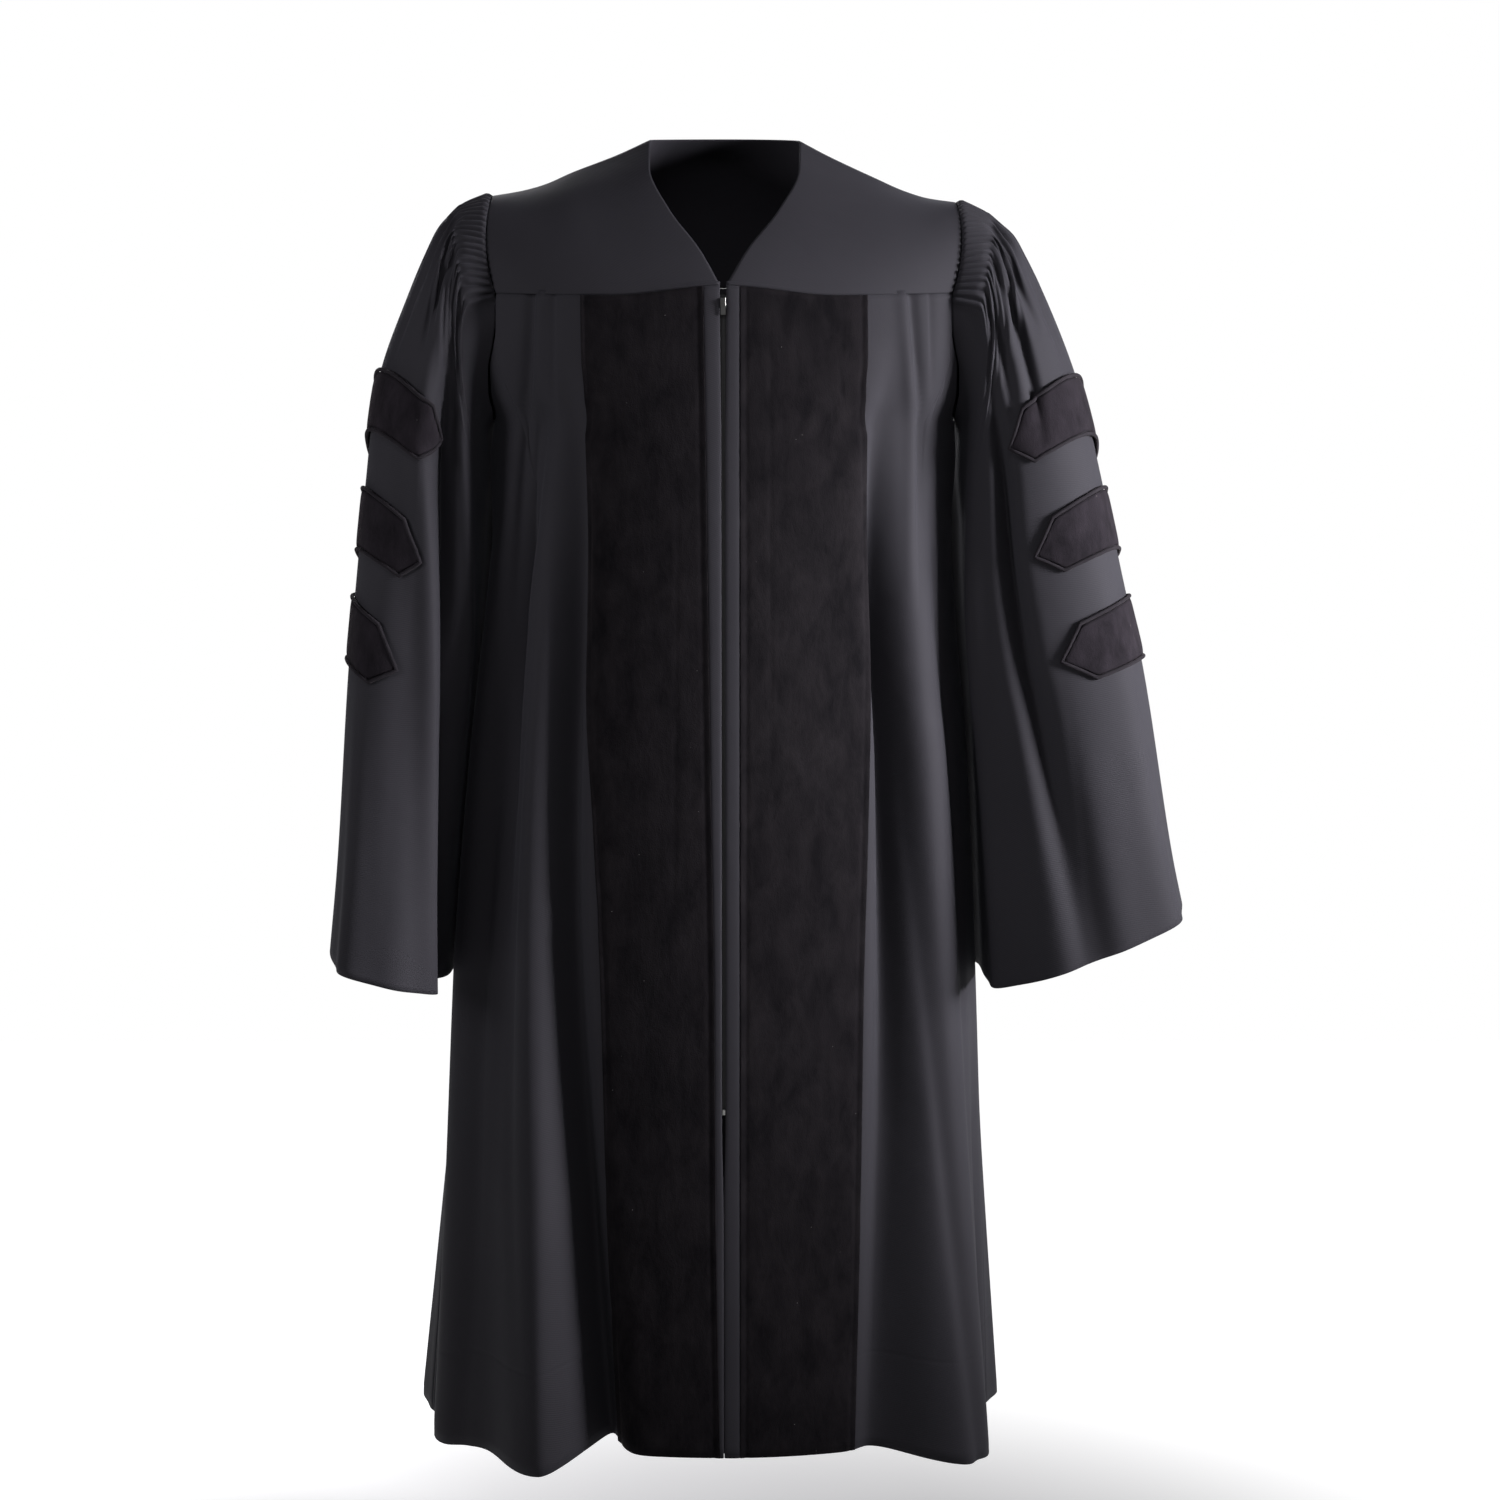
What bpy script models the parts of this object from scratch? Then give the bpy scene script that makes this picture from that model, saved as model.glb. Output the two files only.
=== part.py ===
"""A doctoral graduation gown that hangs as it is worn, in metres, with +Z up.

The origin lies between the two sides of the neck opening, where the shoulders carry the gown, and the
front faces -Y. Right and left are the wearer's, so the right side lies at -X. A drop is a distance below
the origin. Each piece of cloth is a wall between an outer and an inner face, and every face comes from one
of three surfaces: the yoke, the body that hangs from it, and the sleeves.
"""

import math

import bmesh
import bpy
import numpy as np

GOWN_NAME = "graduation_gown"
SIDES = {"right": -1, "left": 1}

CLOTH = 0.0015
VELVET = 0.0018
SEAM_GAP = 0.0003
ARMHOLE_GAP = 0.0013
LAY_GAP = 0.0004
PROBE = 0.0004

HEM_DROP = 1.183
HEM_SAG = 0.2
YOKE_DROP_CENTRE = 0.122
YOKE_DROP_SIDE = 0.131
YOKE_LEVEL_OUT = 0.10

ARMHOLE_TOP = {"right": 0.0446, "left": 0.0505}
ARMHOLE_BOTTOM = 0.250
ARMHOLE_DEPTH = 0.066

FLUTES = 40
FLUTE_REACH = 84.0
FLUTE_DEPTH = 0.0022
BAND = 0.032

BAR_LENGTH = 0.236
BAR_HEIGHT = 0.052
BAR_POINT = 0.024
BAR_TIP = 0.0008
PIPING = 0.0018
PIPING_GAP = 0.0012

ZIP_BOTTOM_DROP = 0.864
ZIP_TAPE = 0.022
ZIP_CHAIN = 0.0026


def table(names, *rows):
    """Named columns made from rows of numbers; the first column is the place of each row."""
    return dict(zip(names.split(), np.array(rows, dtype=float).T))


BODY = table(
    "drop  right  left  front  back",
    (0.120, 0.2395, 0.2395, 0.1245, 0.117),
    (0.190, 0.2370, 0.2370, 0.1300, 0.121),
    (0.220, 0.2270, 0.2270, 0.1320, 0.122),
    (0.250, 0.2115, 0.2115, 0.1340, 0.123),
    (0.320, 0.2110, 0.2080, 0.1360, 0.124),
    (0.420, 0.2180, 0.2130, 0.1385, 0.128),
    (0.550, 0.2310, 0.2250, 0.1430, 0.135),
    (0.750, 0.2490, 0.2350, 0.1510, 0.148),
    (0.950, 0.2640, 0.2420, 0.1580, 0.160),
    (1.183, 0.2840, 0.2500, 0.1650, 0.175),
)

SLEEVE = {
    "left": table(
        "reach  out_x  out_z  in_x  in_z  front  back  square",
        (0.0000, 0.2105, -0.0505, 0.2115, -0.2500, 0.066, 0.066, 1.00),
        (0.0300, 0.2377, -0.0638, 0.2155, -0.2600, 0.074, 0.074, 1.00),
        (0.0580, 0.2607, -0.0791, 0.2160, -0.2700, 0.080, 0.080, 0.97),
        (0.0780, 0.2718, -0.0962, 0.2160, -0.2790, 0.083, 0.083, 0.95),
        (0.1140, 0.2886, -0.1279, 0.2160, -0.2980, 0.085, 0.085, 0.92),
        (0.2150, 0.3255, -0.2217, 0.2180, -0.3600, 0.088, 0.090, 0.85),
        (0.3125, 0.3490, -0.3163, 0.2210, -0.4250, 0.092, 0.097, 0.80),
        (0.4104, 0.3708, -0.4117, 0.2260, -0.4950, 0.100, 0.106, 0.78),
        (0.4681, 0.3846, -0.4677, 0.2300, -0.5400, 0.106, 0.112, 0.78),
        (0.6526, 0.4157, -0.6496, 0.2390, -0.7150, 0.132, 0.140, 0.80),
        (0.6965, 0.4249, -0.6925, 0.2410, -0.7640, 0.140, 0.148, 0.80),
    ),
    "right": table(
        "reach  out_x  out_z  in_x  in_z  front  back  square",
        (0.0000, 0.2100, -0.0446, 0.2115, -0.2500, 0.066, 0.066, 1.00),
        (0.0280, 0.2359, -0.0556, 0.2160, -0.2610, 0.074, 0.074, 1.00),
        (0.0540, 0.2561, -0.0710, 0.2170, -0.2720, 0.079, 0.079, 0.97),
        (0.0780, 0.2683, -0.0917, 0.2175, -0.2800, 0.082, 0.082, 0.95),
        (0.1230, 0.2871, -0.1325, 0.2180, -0.3050, 0.084, 0.084, 0.92),
        (0.2120, 0.3167, -0.2171, 0.2220, -0.3600, 0.086, 0.090, 0.85),
        (0.3105, 0.3293, -0.3144, 0.2260, -0.4300, 0.090, 0.097, 0.80),
        (0.4141, 0.3403, -0.4173, 0.2335, -0.5100, 0.098, 0.106, 0.78),
        (0.4694, 0.3458, -0.4723, 0.2385, -0.5600, 0.104, 0.112, 0.78),
        (0.6471, 0.3581, -0.6496, 0.2510, -0.7050, 0.130, 0.140, 0.80),
        (0.7315, 0.3662, -0.7336, 0.2560, -0.7650, 0.140, 0.148, 0.80),
    ),
}

# A fold runs down its piece through three places. At each it has an angle round the piece, in degrees, and
# a depth, which is above zero for a ridge and below zero for a valley. Near and far are its widths towards
# angle zero and away from it. On the body angle zero is the centre front and 180 the centre back.
FOLD_COLUMNS = "start middle end at_start at_middle at_end near far deep_start deep_middle deep_end"
BACK_FOLDS = (
    (0.15, 0.62, 1.183, 160, 162, 163, 6, 6, 0.000, -0.012, -0.022),
    (0.15, 0.62, 1.183, 149, 150, 151, 6, 7, 0.000, 0.010, 0.024),
)
BODY_FOLDS = {
    "left": table(
        FOLD_COLUMNS,
        (0.16, 0.45, 1.183, 40, 42.5, 33, 4, 7, 0.000, -0.022, -0.009),
        (0.131, 0.17, 0.32, 43, 46, 57, 2.5, 4, -0.003, -0.004, 0.000),
        (0.26, 0.60, 1.183, 54, 53, 44, 7, 10, 0.000, 0.011, 0.004),
        (0.50, 0.85, 1.183, 56, 55, 53, 12, 13, 0.000, 0.018, 0.052),
        (0.70, 0.95, 1.183, 78, 78, 80, 7, 7, 0.000, -0.007, -0.016),
        (0.75, 0.95, 1.183, 104, 105, 105, 9, 10, 0.000, 0.010, 0.022),
        (0.16, 0.60, 1.183, 126, 122, 120, 6, 7, 0.000, -0.012, -0.020),
        (0.15, 0.60, 1.183, 138, 136, 135, 6, 7, 0.000, 0.010, 0.020),
        *BACK_FOLDS,
    ),
    "right": table(
        FOLD_COLUMNS,
        (0.17, 0.50, 1.183, 37, 38, 23, 4, 5, 0.000, -0.024, -0.032),
        (0.25, 0.65, 1.183, 50, 42, 32.5, 5, 13, 0.000, 0.016, 0.048),
        (0.131, 0.42, 0.95, 44, 60, 47, 5, 6, -0.004, -0.020, 0.000),
        (0.25, 0.55, 1.183, 73, 74, 62, 9, 12, 0.000, 0.010, 0.014),
        (0.75, 0.98, 1.183, 84, 83, 82, 7, 7, 0.000, -0.008, -0.016),
        (0.75, 0.95, 1.183, 106, 107, 108, 9, 10, 0.000, 0.012, 0.024),
        (0.16, 0.55, 1.183, 125, 123, 123, 7, 6, 0.000, -0.010, -0.024),
        (0.15, 0.60, 1.183, 138, 137, 137, 6, 6, 0.000, 0.011, 0.018),
        *BACK_FOLDS,
    ),
}

# On a sleeve angle zero is its outer side, 90 its front, 180 the side by the body and -90 its back.
SLEEVE_FOLDS = {
    "left": table(
        FOLD_COLUMNS,
        (0.05, 0.28, 0.6965, 100, 112, 90, 9, 7, 0.000, -0.022, -0.007),
        (0.05, 0.30, 0.6965, 140, 147, 146, 12, 12, 0.000, 0.015, 0.008),
        (0.04, 0.07, 0.13, 38, 42, 48, 5, 5, 0.000, -0.007, 0.000),
        (0.04, 0.09, 0.22, 56, 63, 78, 5, 6, 0.000, -0.010, 0.000),
        (0.04, 0.085, 0.17, 78, 84, 92, 5, 5, 0.000, -0.007, 0.000),
        (0.06, 0.11, 0.20, 24, 27, 31, 5, 5, 0.000, -0.005, 0.000),
        (0.30, 0.50, 0.6965, 55, 50, 45, 14, 14, 0.000, 0.004, 0.012),
        (0.04, 0.09, 0.20, -52, -58, -70, 6, 6, 0.000, -0.009, 0.000),
        (0.04, 0.08, 0.15, -30, -33, -38, 5, 5, 0.000, -0.006, 0.000),
        (0.05, 0.30, 0.6965, -96, -104, -100, 9, 8, 0.000, -0.016, -0.010),
        (0.30, 0.50, 0.6965, -60, -62, -60, 13, 13, 0.000, 0.006, 0.014),
        (0.00, 0.06, 0.6965, -148, -148, -148, 15, 15, 0.000, 0.040, 0.036),
    ),
    "right": table(
        FOLD_COLUMNS,
        (0.04, 0.25, 0.7315, 82, 112, 158, 6, 12, -0.004, -0.026, -0.012),
        (0.06, 0.25, 0.7315, 66, 95, 136, 12, 7, 0.000, 0.008, 0.009),
        (0.06, 0.20, 0.55, 112, 136, 168, 8, 10, 0.000, 0.009, 0.000),
        (0.03, 0.06, 0.13, 46, 54, 66, 5, 5, 0.000, -0.009, 0.000),
        (0.05, 0.10, 0.20, 96, 104, 118, 6, 6, 0.000, -0.008, 0.000),
        (0.05, 0.10, 0.19, 26, 30, 36, 5, 5, 0.000, -0.005, 0.000),
        (0.35, 0.55, 0.7315, 52, 58, 66, 13, 13, 0.000, 0.005, 0.010),
        (0.04, 0.09, 0.20, -50, -56, -66, 6, 6, 0.000, -0.009, 0.000),
        (0.04, 0.08, 0.15, -28, -31, -36, 5, 5, 0.000, -0.006, 0.000),
        (0.05, 0.28, 0.7315, -100, -112, -112, 9, 8, 0.000, -0.018, -0.010),
        (0.30, 0.50, 0.7315, -62, -64, -66, 13, 13, 0.000, 0.006, 0.014),
        (0.00, 0.06, 0.7315, -148, -148, -148, 15, 15, 0.000, 0.042, 0.040),
    ),
}

SHOULDER = {
    "left": table(
        "out  up",
        (0.0690, 0.0045),
        (0.0927, -0.0080),
        (0.1373, -0.0287),
        (0.1640, -0.0404),
        (0.1850, -0.0468),
        (0.2105, -0.0505),
    ),
    "right": table(
        "out  up",
        (0.0675, 0.0055),
        (0.0972, -0.0080),
        (0.1373, -0.0233),
        (0.1647, -0.0350),
        (0.1850, -0.0404),
        (0.2100, -0.0446),
    ),
}
SHOULDER_BACK = 0.005
NECK_EDGE = table(
    "way  out  forward  down",
    (0.00, 0.0680, -0.005, -0.005),
    (0.18, 0.0670, 0.030, 0.020),
    (0.45, 0.0490, 0.072, 0.056),
    (0.75, 0.0205, 0.106, 0.092),
    (1.00, 0.0028, 0.1248, 0.122),
)
NAPE = table(
    "way  back  down",
    (0.00, 0.062, -0.007),
    (0.30, 0.088, 0.014),
    (0.65, 0.108, 0.062),
    (1.00, 0.1175, 0.131),
)
NECK_SHARE = 0.36

# How far out from the centre the fronts' edges and the two edges of each velvet panel lie.
FRONT_EDGES = table(
    "drop  centre  right_in  right_out  left_in  left_out",
    (0.122, 0.00280, 0.0177, 0.1260, 0.0150, 0.1270),
    (0.155, 0.00280, 0.0172, 0.1256, 0.0150, 0.1273),
    (0.260, 0.00170, 0.0155, 0.1242, 0.0150, 0.1282),
    (0.450, 0.00165, 0.0130, 0.1240, 0.0150, 0.1310),
    (0.600, 0.00165, 0.0110, 0.1165, 0.0150, 0.1290),
    (0.750, 0.00165, 0.0088, 0.1105, 0.0150, 0.1255),
    (0.872, 0.00160, 0.0084, 0.1078, 0.0150, 0.1242),
    (0.960, 0.00025, 0.0080, 0.1062, 0.0150, 0.1232),
    (1.183, 0.00025, 0.0050, 0.1010, 0.0150, 0.1190),
)

BARS = table(
    "number  right_reach  left_reach  right_tilt  left_tilt  right_shift  left_shift  lift",
    (1, 0.2146, 0.2200, -24, -23, 0.048, 0.044, 0.0016),
    (2, 0.3314, 0.3308, -15, -14, 0.030, 0.032, 0.0007),
    (3, 0.4339, 0.4344, -5, -7, 0.012, 0.029, 0.0007),
)


def smooth_curve(place, places, values):
    """A curve through the given values that never overshoots them."""
    gap = np.diff(places)
    slope = np.diff(values) / gap
    tangent = np.concatenate(([slope[0]], np.zeros(len(slope) - 1), [slope[-1]]))
    for i in range(1, len(slope)):
        if slope[i - 1] * slope[i] > 0:
            tangent[i] = 2 * slope[i - 1] * slope[i] / (slope[i - 1] + slope[i])
    place = np.clip(place, places[0], places[-1])
    i = np.clip(np.searchsorted(places, place) - 1, 0, len(gap) - 1)
    t = (place - places[i]) / gap[i]
    rise = t * t * (3 - 2 * t)
    leaving = t * (1 - t) ** 2 * gap[i] * tangent[i]
    arriving = t * t * (t - 1) * gap[i] * tangent[i + 1]
    return values[i] * (1 - rise) + values[i + 1] * rise + leaving + arriving


def along(rows, column, place):
    """The value of a table's column at a place in its first column."""
    return smooth_curve(place, next(iter(rows.values())), rows[column])


def point(x, y, z):
    """Points as an array whose last axis holds x, y and z."""
    return np.stack(np.broadcast_arrays(x, y, z), axis=-1)


def unit(vectors):
    return vectors / np.linalg.norm(vectors, axis=-1, keepdims=True)


def fold_lift(folds, angle, place):
    """How far all the folds together move the cloth out at an angle and a place down the piece."""
    lift = 0.0
    for i in range(len(folds["start"])):
        row = {name: values[i] for name, values in folds.items()}
        places = np.array([row["start"], row["middle"], row["end"]])
        centre = smooth_curve(place, places, np.array([row["at_start"], row["at_middle"], row["at_end"]]))
        deep = smooth_curve(place, places, np.array([row["deep_start"], row["deep_middle"], row["deep_end"]]))
        off = (angle - centre + 180.0) % 360.0 - 180.0
        towards = off * np.sign(centre) < 0
        lift = lift + deep * np.exp(-((off / np.where(towards, row["near"], row["far"])) ** 2))
    return lift


def body_point(side, angle, drop):
    """The outer face of the body at an angle from the centre front."""
    half = along(BODY, side, drop)
    depth = np.where(angle < 90.0, along(BODY, "front", drop), along(BODY, "back", drop))
    turn = np.radians(angle)
    outward = point(np.sin(turn) / half, -np.cos(turn) / depth, 0.0)
    lift = fold_lift(BODY_FOLDS[side], angle, drop)
    flat = point(half * np.sin(turn), -depth * np.cos(turn), -drop)
    sag = HEM_SAG * lift * (drop / HEM_DROP) ** 6
    moved = flat + unit(outward) * np.expand_dims(lift, -1) - point(0.0, 0.0, sag)
    return moved * np.array([SIDES[side], 1.0, 1.0])


def angle_at(side, out, drop):
    """The angle on the front of the body at a distance out from the centre front."""
    return np.degrees(np.arcsin(out / along(BODY, side, drop)))


def facing(surface, first, second, first_step, second_step, hand):
    """Directions straight out of a surface of two values."""
    across = surface(first + first_step, second) - surface(first - first_step, second)
    down = surface(first, second + second_step) - surface(first, second - second_step)
    return unit(np.cross(down, across)) * hand


def body_facing(side, angle, drop):
    return facing(lambda a, d: body_point(side, a, d), angle, drop, 0.1, PROBE, SIDES[side])


def yoke_seam_drop(out):
    """The yoke seam drops a little from the centre front to the armhole."""
    share = np.clip(out / YOKE_LEVEL_OUT, 0.0, 1.0)
    return YOKE_DROP_CENTRE + (YOKE_DROP_SIDE - YOKE_DROP_CENTRE) * share * share * (3 - 2 * share)


def armhole_height(side):
    """Centre and half of the armhole's height."""
    top = -ARMHOLE_TOP[side]
    return (top - ARMHOLE_BOTTOM) / 2, (top + ARMHOLE_BOTTOM) / 2


def armhole_point(side, angle):
    """The armhole's edge, from its top at angle zero, down the front to 90 and the underarm at 180."""
    centre, height = armhole_height(side)
    turn = np.radians(angle)
    y = -ARMHOLE_DEPTH * np.sin(turn)
    z = centre + height * np.cos(turn)
    depth = np.where(y < 0, along(BODY, "front", -z), along(BODY, "back", -z))
    below = along(BODY, side, -z) * np.sqrt(1 - (y / depth) ** 2)
    seam_depth = np.where(y < 0, along(BODY, "front", YOKE_DROP_SIDE), along(BODY, "back", YOKE_DROP_SIDE))
    seam_y = armhole_seam_depth(side)
    seam_out = along(BODY, side, YOKE_DROP_SIDE) * np.sqrt(1 - (seam_y / seam_depth) ** 2)
    top_out = SHOULDER[side]["out"][-1]
    share = np.clip((z + YOKE_DROP_SIDE) / (YOKE_DROP_SIDE - ARMHOLE_TOP[side]), 0.0, 1.0)
    above = seam_out + (top_out - seam_out) * share + 0.022 * share * (1 - share)
    x = np.where(z < -YOKE_DROP_SIDE, below, above)
    return point(x * SIDES[side], y, z)


def armhole_seam_angle(side):
    """The armhole's angle where the yoke seam meets it."""
    centre, height = armhole_height(side)
    return math.degrees(math.acos((-YOKE_DROP_SIDE - centre) / height))


def armhole_seam_depth(side):
    return ARMHOLE_DEPTH * math.sin(math.radians(armhole_seam_angle(side)))


def body_seam_angle(side, face):
    """The body's angle where the yoke seam meets the armhole, on the front or the back."""
    turn = math.degrees(math.acos(armhole_seam_depth(side) / along(BODY, face, YOKE_DROP_SIDE)))
    return turn if face == "front" else 180.0 - turn


def body_top_drop(side, angle):
    """Where the front and back begin: at the yoke seam, or at the armhole for the columns beside it."""
    face = np.where(angle < 90.0, 0, 1)
    out = along(BODY, side, YOKE_DROP_SIDE) * np.sin(np.radians(angle))
    seam = np.where(face == 0, yoke_seam_drop(out), YOKE_DROP_SIDE)
    low = np.full(np.shape(angle), YOKE_DROP_SIDE)
    high = np.full(np.shape(angle), ARMHOLE_BOTTOM)
    centre, height = armhole_height(side)
    for _ in range(40):
        middle = (low + high) / 2
        depth = np.where(face == 0, along(BODY, "front", middle), along(BODY, "back", middle))
        edge = ARMHOLE_DEPTH * np.sqrt(np.clip(1 - ((-middle - centre) / height) ** 2, 0.0, 1.0))
        inside = depth * np.abs(np.cos(np.radians(angle))) < edge
        low = np.where(inside, middle, low)
        high = np.where(inside, high, middle)
    beside = (angle > body_seam_angle(side, "front")) & (angle < body_seam_angle(side, "back"))
    return np.where(beside, low, seam)


def sleeve_base(side, angle, reach):
    """A sleeve's ring without its folds, and the directions out of it."""
    rows = SLEEVE[side]
    value = {name: along(rows, name, reach) for name in rows}
    turn = np.radians(angle)
    cosine = np.cos(turn)
    sine = np.sin(turn)
    across = np.sign(cosine) * np.abs(cosine) ** value["square"]
    forward = np.sign(sine) * np.abs(sine) ** value["square"]
    half_x = (value["out_x"] - value["in_x"]) / 2
    half_z = (value["out_z"] - value["in_z"]) / 2
    width = np.hypot(half_x, half_z)
    depth = np.where(sine > 0, value["front"], value["back"])
    ring = point(value["in_x"] + half_x * (1 + across), -depth * forward, value["in_z"] + half_z * (1 + across))
    lean = cosine / width
    outward = point(lean * half_x / width, -sine / depth, lean * half_z / width)
    return ring, unit(outward)


def sleeve_point(side, angle, reach):
    """The outer face of a sleeve at an angle round it and a reach along its outer side."""
    ring, outward = sleeve_base(side, angle, reach)
    lift = fold_lift(SLEEVE_FOLDS[side], angle, reach)
    start = sleeve_base(side, angle, 0.0)[0]
    fade = np.clip(1 - np.asarray(reach) / (2 * BAND), 0.0, 1.0) ** 2
    edge = (armhole_point(side, angle)[..., 0] * SIDES[side] - start[..., 0]) * fade
    moved = ring + outward * np.expand_dims(lift, -1) + point(edge + ARMHOLE_GAP, 0.0, 0.0)
    return moved * np.array([SIDES[side], 1.0, 1.0])


def sleeve_facing(side, angle, reach):
    return facing(lambda a, r: sleeve_point(side, a, r), angle, reach, 0.3, PROBE, -SIDES[side])


def blend(top, bottom, left, right, across, down):
    """A smooth patch between four edges, with across and down from 0 to 1."""
    across = np.expand_dims(across, -1)
    down = np.expand_dims(down, -1)
    corners = (
        (1 - across) * (1 - down) * top[:, :1]
        + across * (1 - down) * top[:, -1:]
        + (1 - across) * down * bottom[:, :1]
        + across * down * bottom[:, -1:]
    )
    return (1 - down) * top + down * bottom + (1 - across) * left + across * right - corners


def shoulder_point(side, share):
    """The shoulder seam from the neck, at share 0, to the armhole."""
    rows = SHOULDER[side]
    out = rows["out"][0] + (rows["out"][-1] - rows["out"][0]) * share
    return point(out * SIDES[side], SHOULDER_BACK * (1 - share), along(rows, "up", out))


def front_yoke_point(side, across, down):
    """The front yoke, from the neck edge to the armhole and from the shoulder to the yoke seam."""
    hand = SIDES[side]
    across_row = np.unique(across)[None, :]
    down_column = np.unique(down)[:, None]
    top = shoulder_point(side, across_row)
    first = float(angle_at(side, FRONT_EDGES["centre"][0], YOKE_DROP_CENTRE))
    angle = first + (body_seam_angle(side, "front") - first) * across_row
    bottom = body_point(side, angle, body_top_drop(side, angle))
    left = point(
        along(NECK_EDGE, "out", down_column) * hand,
        -along(NECK_EDGE, "forward", down_column),
        -along(NECK_EDGE, "down", down_column),
    )
    left = left + (1 - down_column)[..., None] * (top[:, :1] - left[:1]) + down_column[..., None] * (
        bottom[:, :1] - left[-1:]
    )
    right = armhole_point(side, armhole_seam_angle(side) * down_column)
    return blend(top, bottom, left, right, across_row, down_column)


def back_yoke_point(side, across, down):
    """Half of the back yoke, from the centre back to the armhole."""
    hand = SIDES[side]
    across_row = np.unique(across)[None, :]
    down_column = np.unique(down)[:, None]
    neck = SHOULDER[side]["out"][0]
    turn = np.clip(across_row / NECK_SHARE, 0.0, 1.0) * math.pi / 2
    corner_up = SHOULDER[side]["up"][0]
    nape_up = -NAPE["down"][0]
    collar = point(
        neck * np.sin(turn) * hand,
        SHOULDER_BACK + (NAPE["back"][0] - SHOULDER_BACK) * np.cos(turn),
        corner_up + (nape_up - corner_up) * np.cos(turn),
    )
    seam = shoulder_point(side, np.clip((across_row - NECK_SHARE) / (1 - NECK_SHARE), 0.0, 1.0))
    top = np.where((across_row < NECK_SHARE)[..., None], collar, seam)
    angle = 180.0 + (body_seam_angle(side, "back") - 180.0) * across_row
    bottom = body_point(side, angle, body_top_drop(side, angle))
    left = point(0.0, along(NAPE, "back", down_column), -along(NAPE, "down", down_column))
    left = left + down_column[..., None] * (bottom[:, :1] - left[-1:])
    right = armhole_point(side, -armhole_seam_angle(side) * down_column)
    return blend(top, bottom, left, right, across_row, down_column)


def grid_facing(grid, hand):
    """Directions out of a grid of points, from its neighbours."""
    down, across = np.gradient(grid, axis=(0, 1))
    return unit(np.cross(down, across)) * hand


def material(name, colour, roughness, metallic=0.0):
    finish = bpy.data.materials.new(name)
    finish.use_nodes = True
    shader = finish.node_tree.nodes["Principled BSDF"]
    shader.inputs["Base Color"].default_value = (*colour, 1.0)
    shader.inputs["Roughness"].default_value = roughness
    shader.inputs["Metallic"].default_value = metallic
    return finish


def add_object(name, mesh, finish):
    mesh.materials.append(finish)
    thing = bpy.data.objects.new(name, mesh)
    gown.objects.link(thing)
    return thing


def loft(name, outer, inner, finish, ring=False):
    """A wall between two equal grids of points; a ring joins its last column to its first."""
    bm = bmesh.new()
    rows, columns = outer.shape[:2]
    faces = [[[bm.verts.new(p) for p in row] for row in grid] for grid in (outer, inner)]
    spans = [(c, (c + 1) % columns) for c in range(columns if ring else columns - 1)]
    for r in range(rows - 1):
        for a, b in spans:
            for grid in faces:
                bm.faces.new((grid[r][a], grid[r][b], grid[r + 1][b], grid[r + 1][a]))
    front, back = faces
    for r in (0, rows - 1):
        for a, b in spans:
            bm.faces.new((front[r][a], front[r][b], back[r][b], back[r][a]))
    if not ring:
        for r in range(rows - 1):
            for c in (0, columns - 1):
                bm.faces.new((front[r][c], front[r + 1][c], back[r + 1][c], back[r][c]))
    return finish_loft(name, bm, finish)


def finish_loft(name, bm, finish):
    bmesh.ops.triangulate(bm, faces=bm.faces)
    bmesh.ops.recalc_face_normals(bm, faces=bm.faces)
    mesh = bpy.data.meshes.new(name)
    bm.to_mesh(mesh)
    bm.free()
    return add_object(name, mesh, finish)


def level(directions):
    """The same directions with no rise, so that two pieces meet face to face at a level seam."""
    return unit(directions * np.array([1.0, 1.0, 0.0]))


def front_yoke(side):
    across = np.linspace(0, 1, 11)
    down = np.linspace(0, 1, 8)
    outer = front_yoke_point(side, across, down)
    out = grid_facing(outer, SIDES[side])
    out[0] = unit(np.array([0.25 * SIDES[side], 0.0, 1.0]))
    out[-1] = level(out[-1])
    outer[0, :, 1] -= SEAM_GAP / 2
    outer[:, -1, 0] -= SEAM_GAP * SIDES[side] / 2
    loft("yoke_front_" + side, outer, outer - out * CLOTH, cloth)


def back_yoke():
    across = np.concatenate((np.linspace(0, NECK_SHARE, 5), np.linspace(NECK_SHARE, 1, 7)[1:]))
    down = np.linspace(0, 1, 8)
    halves = {}
    for side in SIDES:
        grid = back_yoke_point(side, across, down)
        out = grid_facing(grid, -SIDES[side])
        out[0] = np.where((across < NECK_SHARE - 0.01)[:, None], out[0], unit(np.array([0.25 * SIDES[side], 0, 1])))
        out[-1] = level(out[-1])
        out[:, 0, 0] = 0.0
        grid[0, :, 1] += SEAM_GAP / 2
        grid[:, -1, 0] -= SEAM_GAP * SIDES[side] / 2
        halves[side] = grid, out
    outer = np.concatenate((halves["right"][0][:, :0:-1], halves["left"][0]), axis=1)
    out = unit(np.concatenate((halves["right"][1][:, :0:-1], halves["left"][1]), axis=1))
    loft("yoke_back", outer, outer - out * CLOTH, cloth)


ROW_SHARES = np.array([0, 0.03, 0.08, 0.13, 0.21, 0.31, 0.41, 0.51, 0.61, 0.705, 0.79, 0.90, 1.0])
PANEL_COLUMNS = 8
PLEAT_SHARES = np.array([0.13, 0.27, 0.42, 0.60, 0.80, 1.0])
SIDE_SHARES = np.array([0.03, 0.08, 0.15, 0.26, 0.40, 0.58, 0.78, 1.0])
BACK_ANGLES = np.array([97, 104, 110, 115, 118.5, 121, 122.5, 128, 133, 138, 143, 148, 153, 158, 163, 170, 180])
SEAM_ANGLE = 0.05


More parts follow.
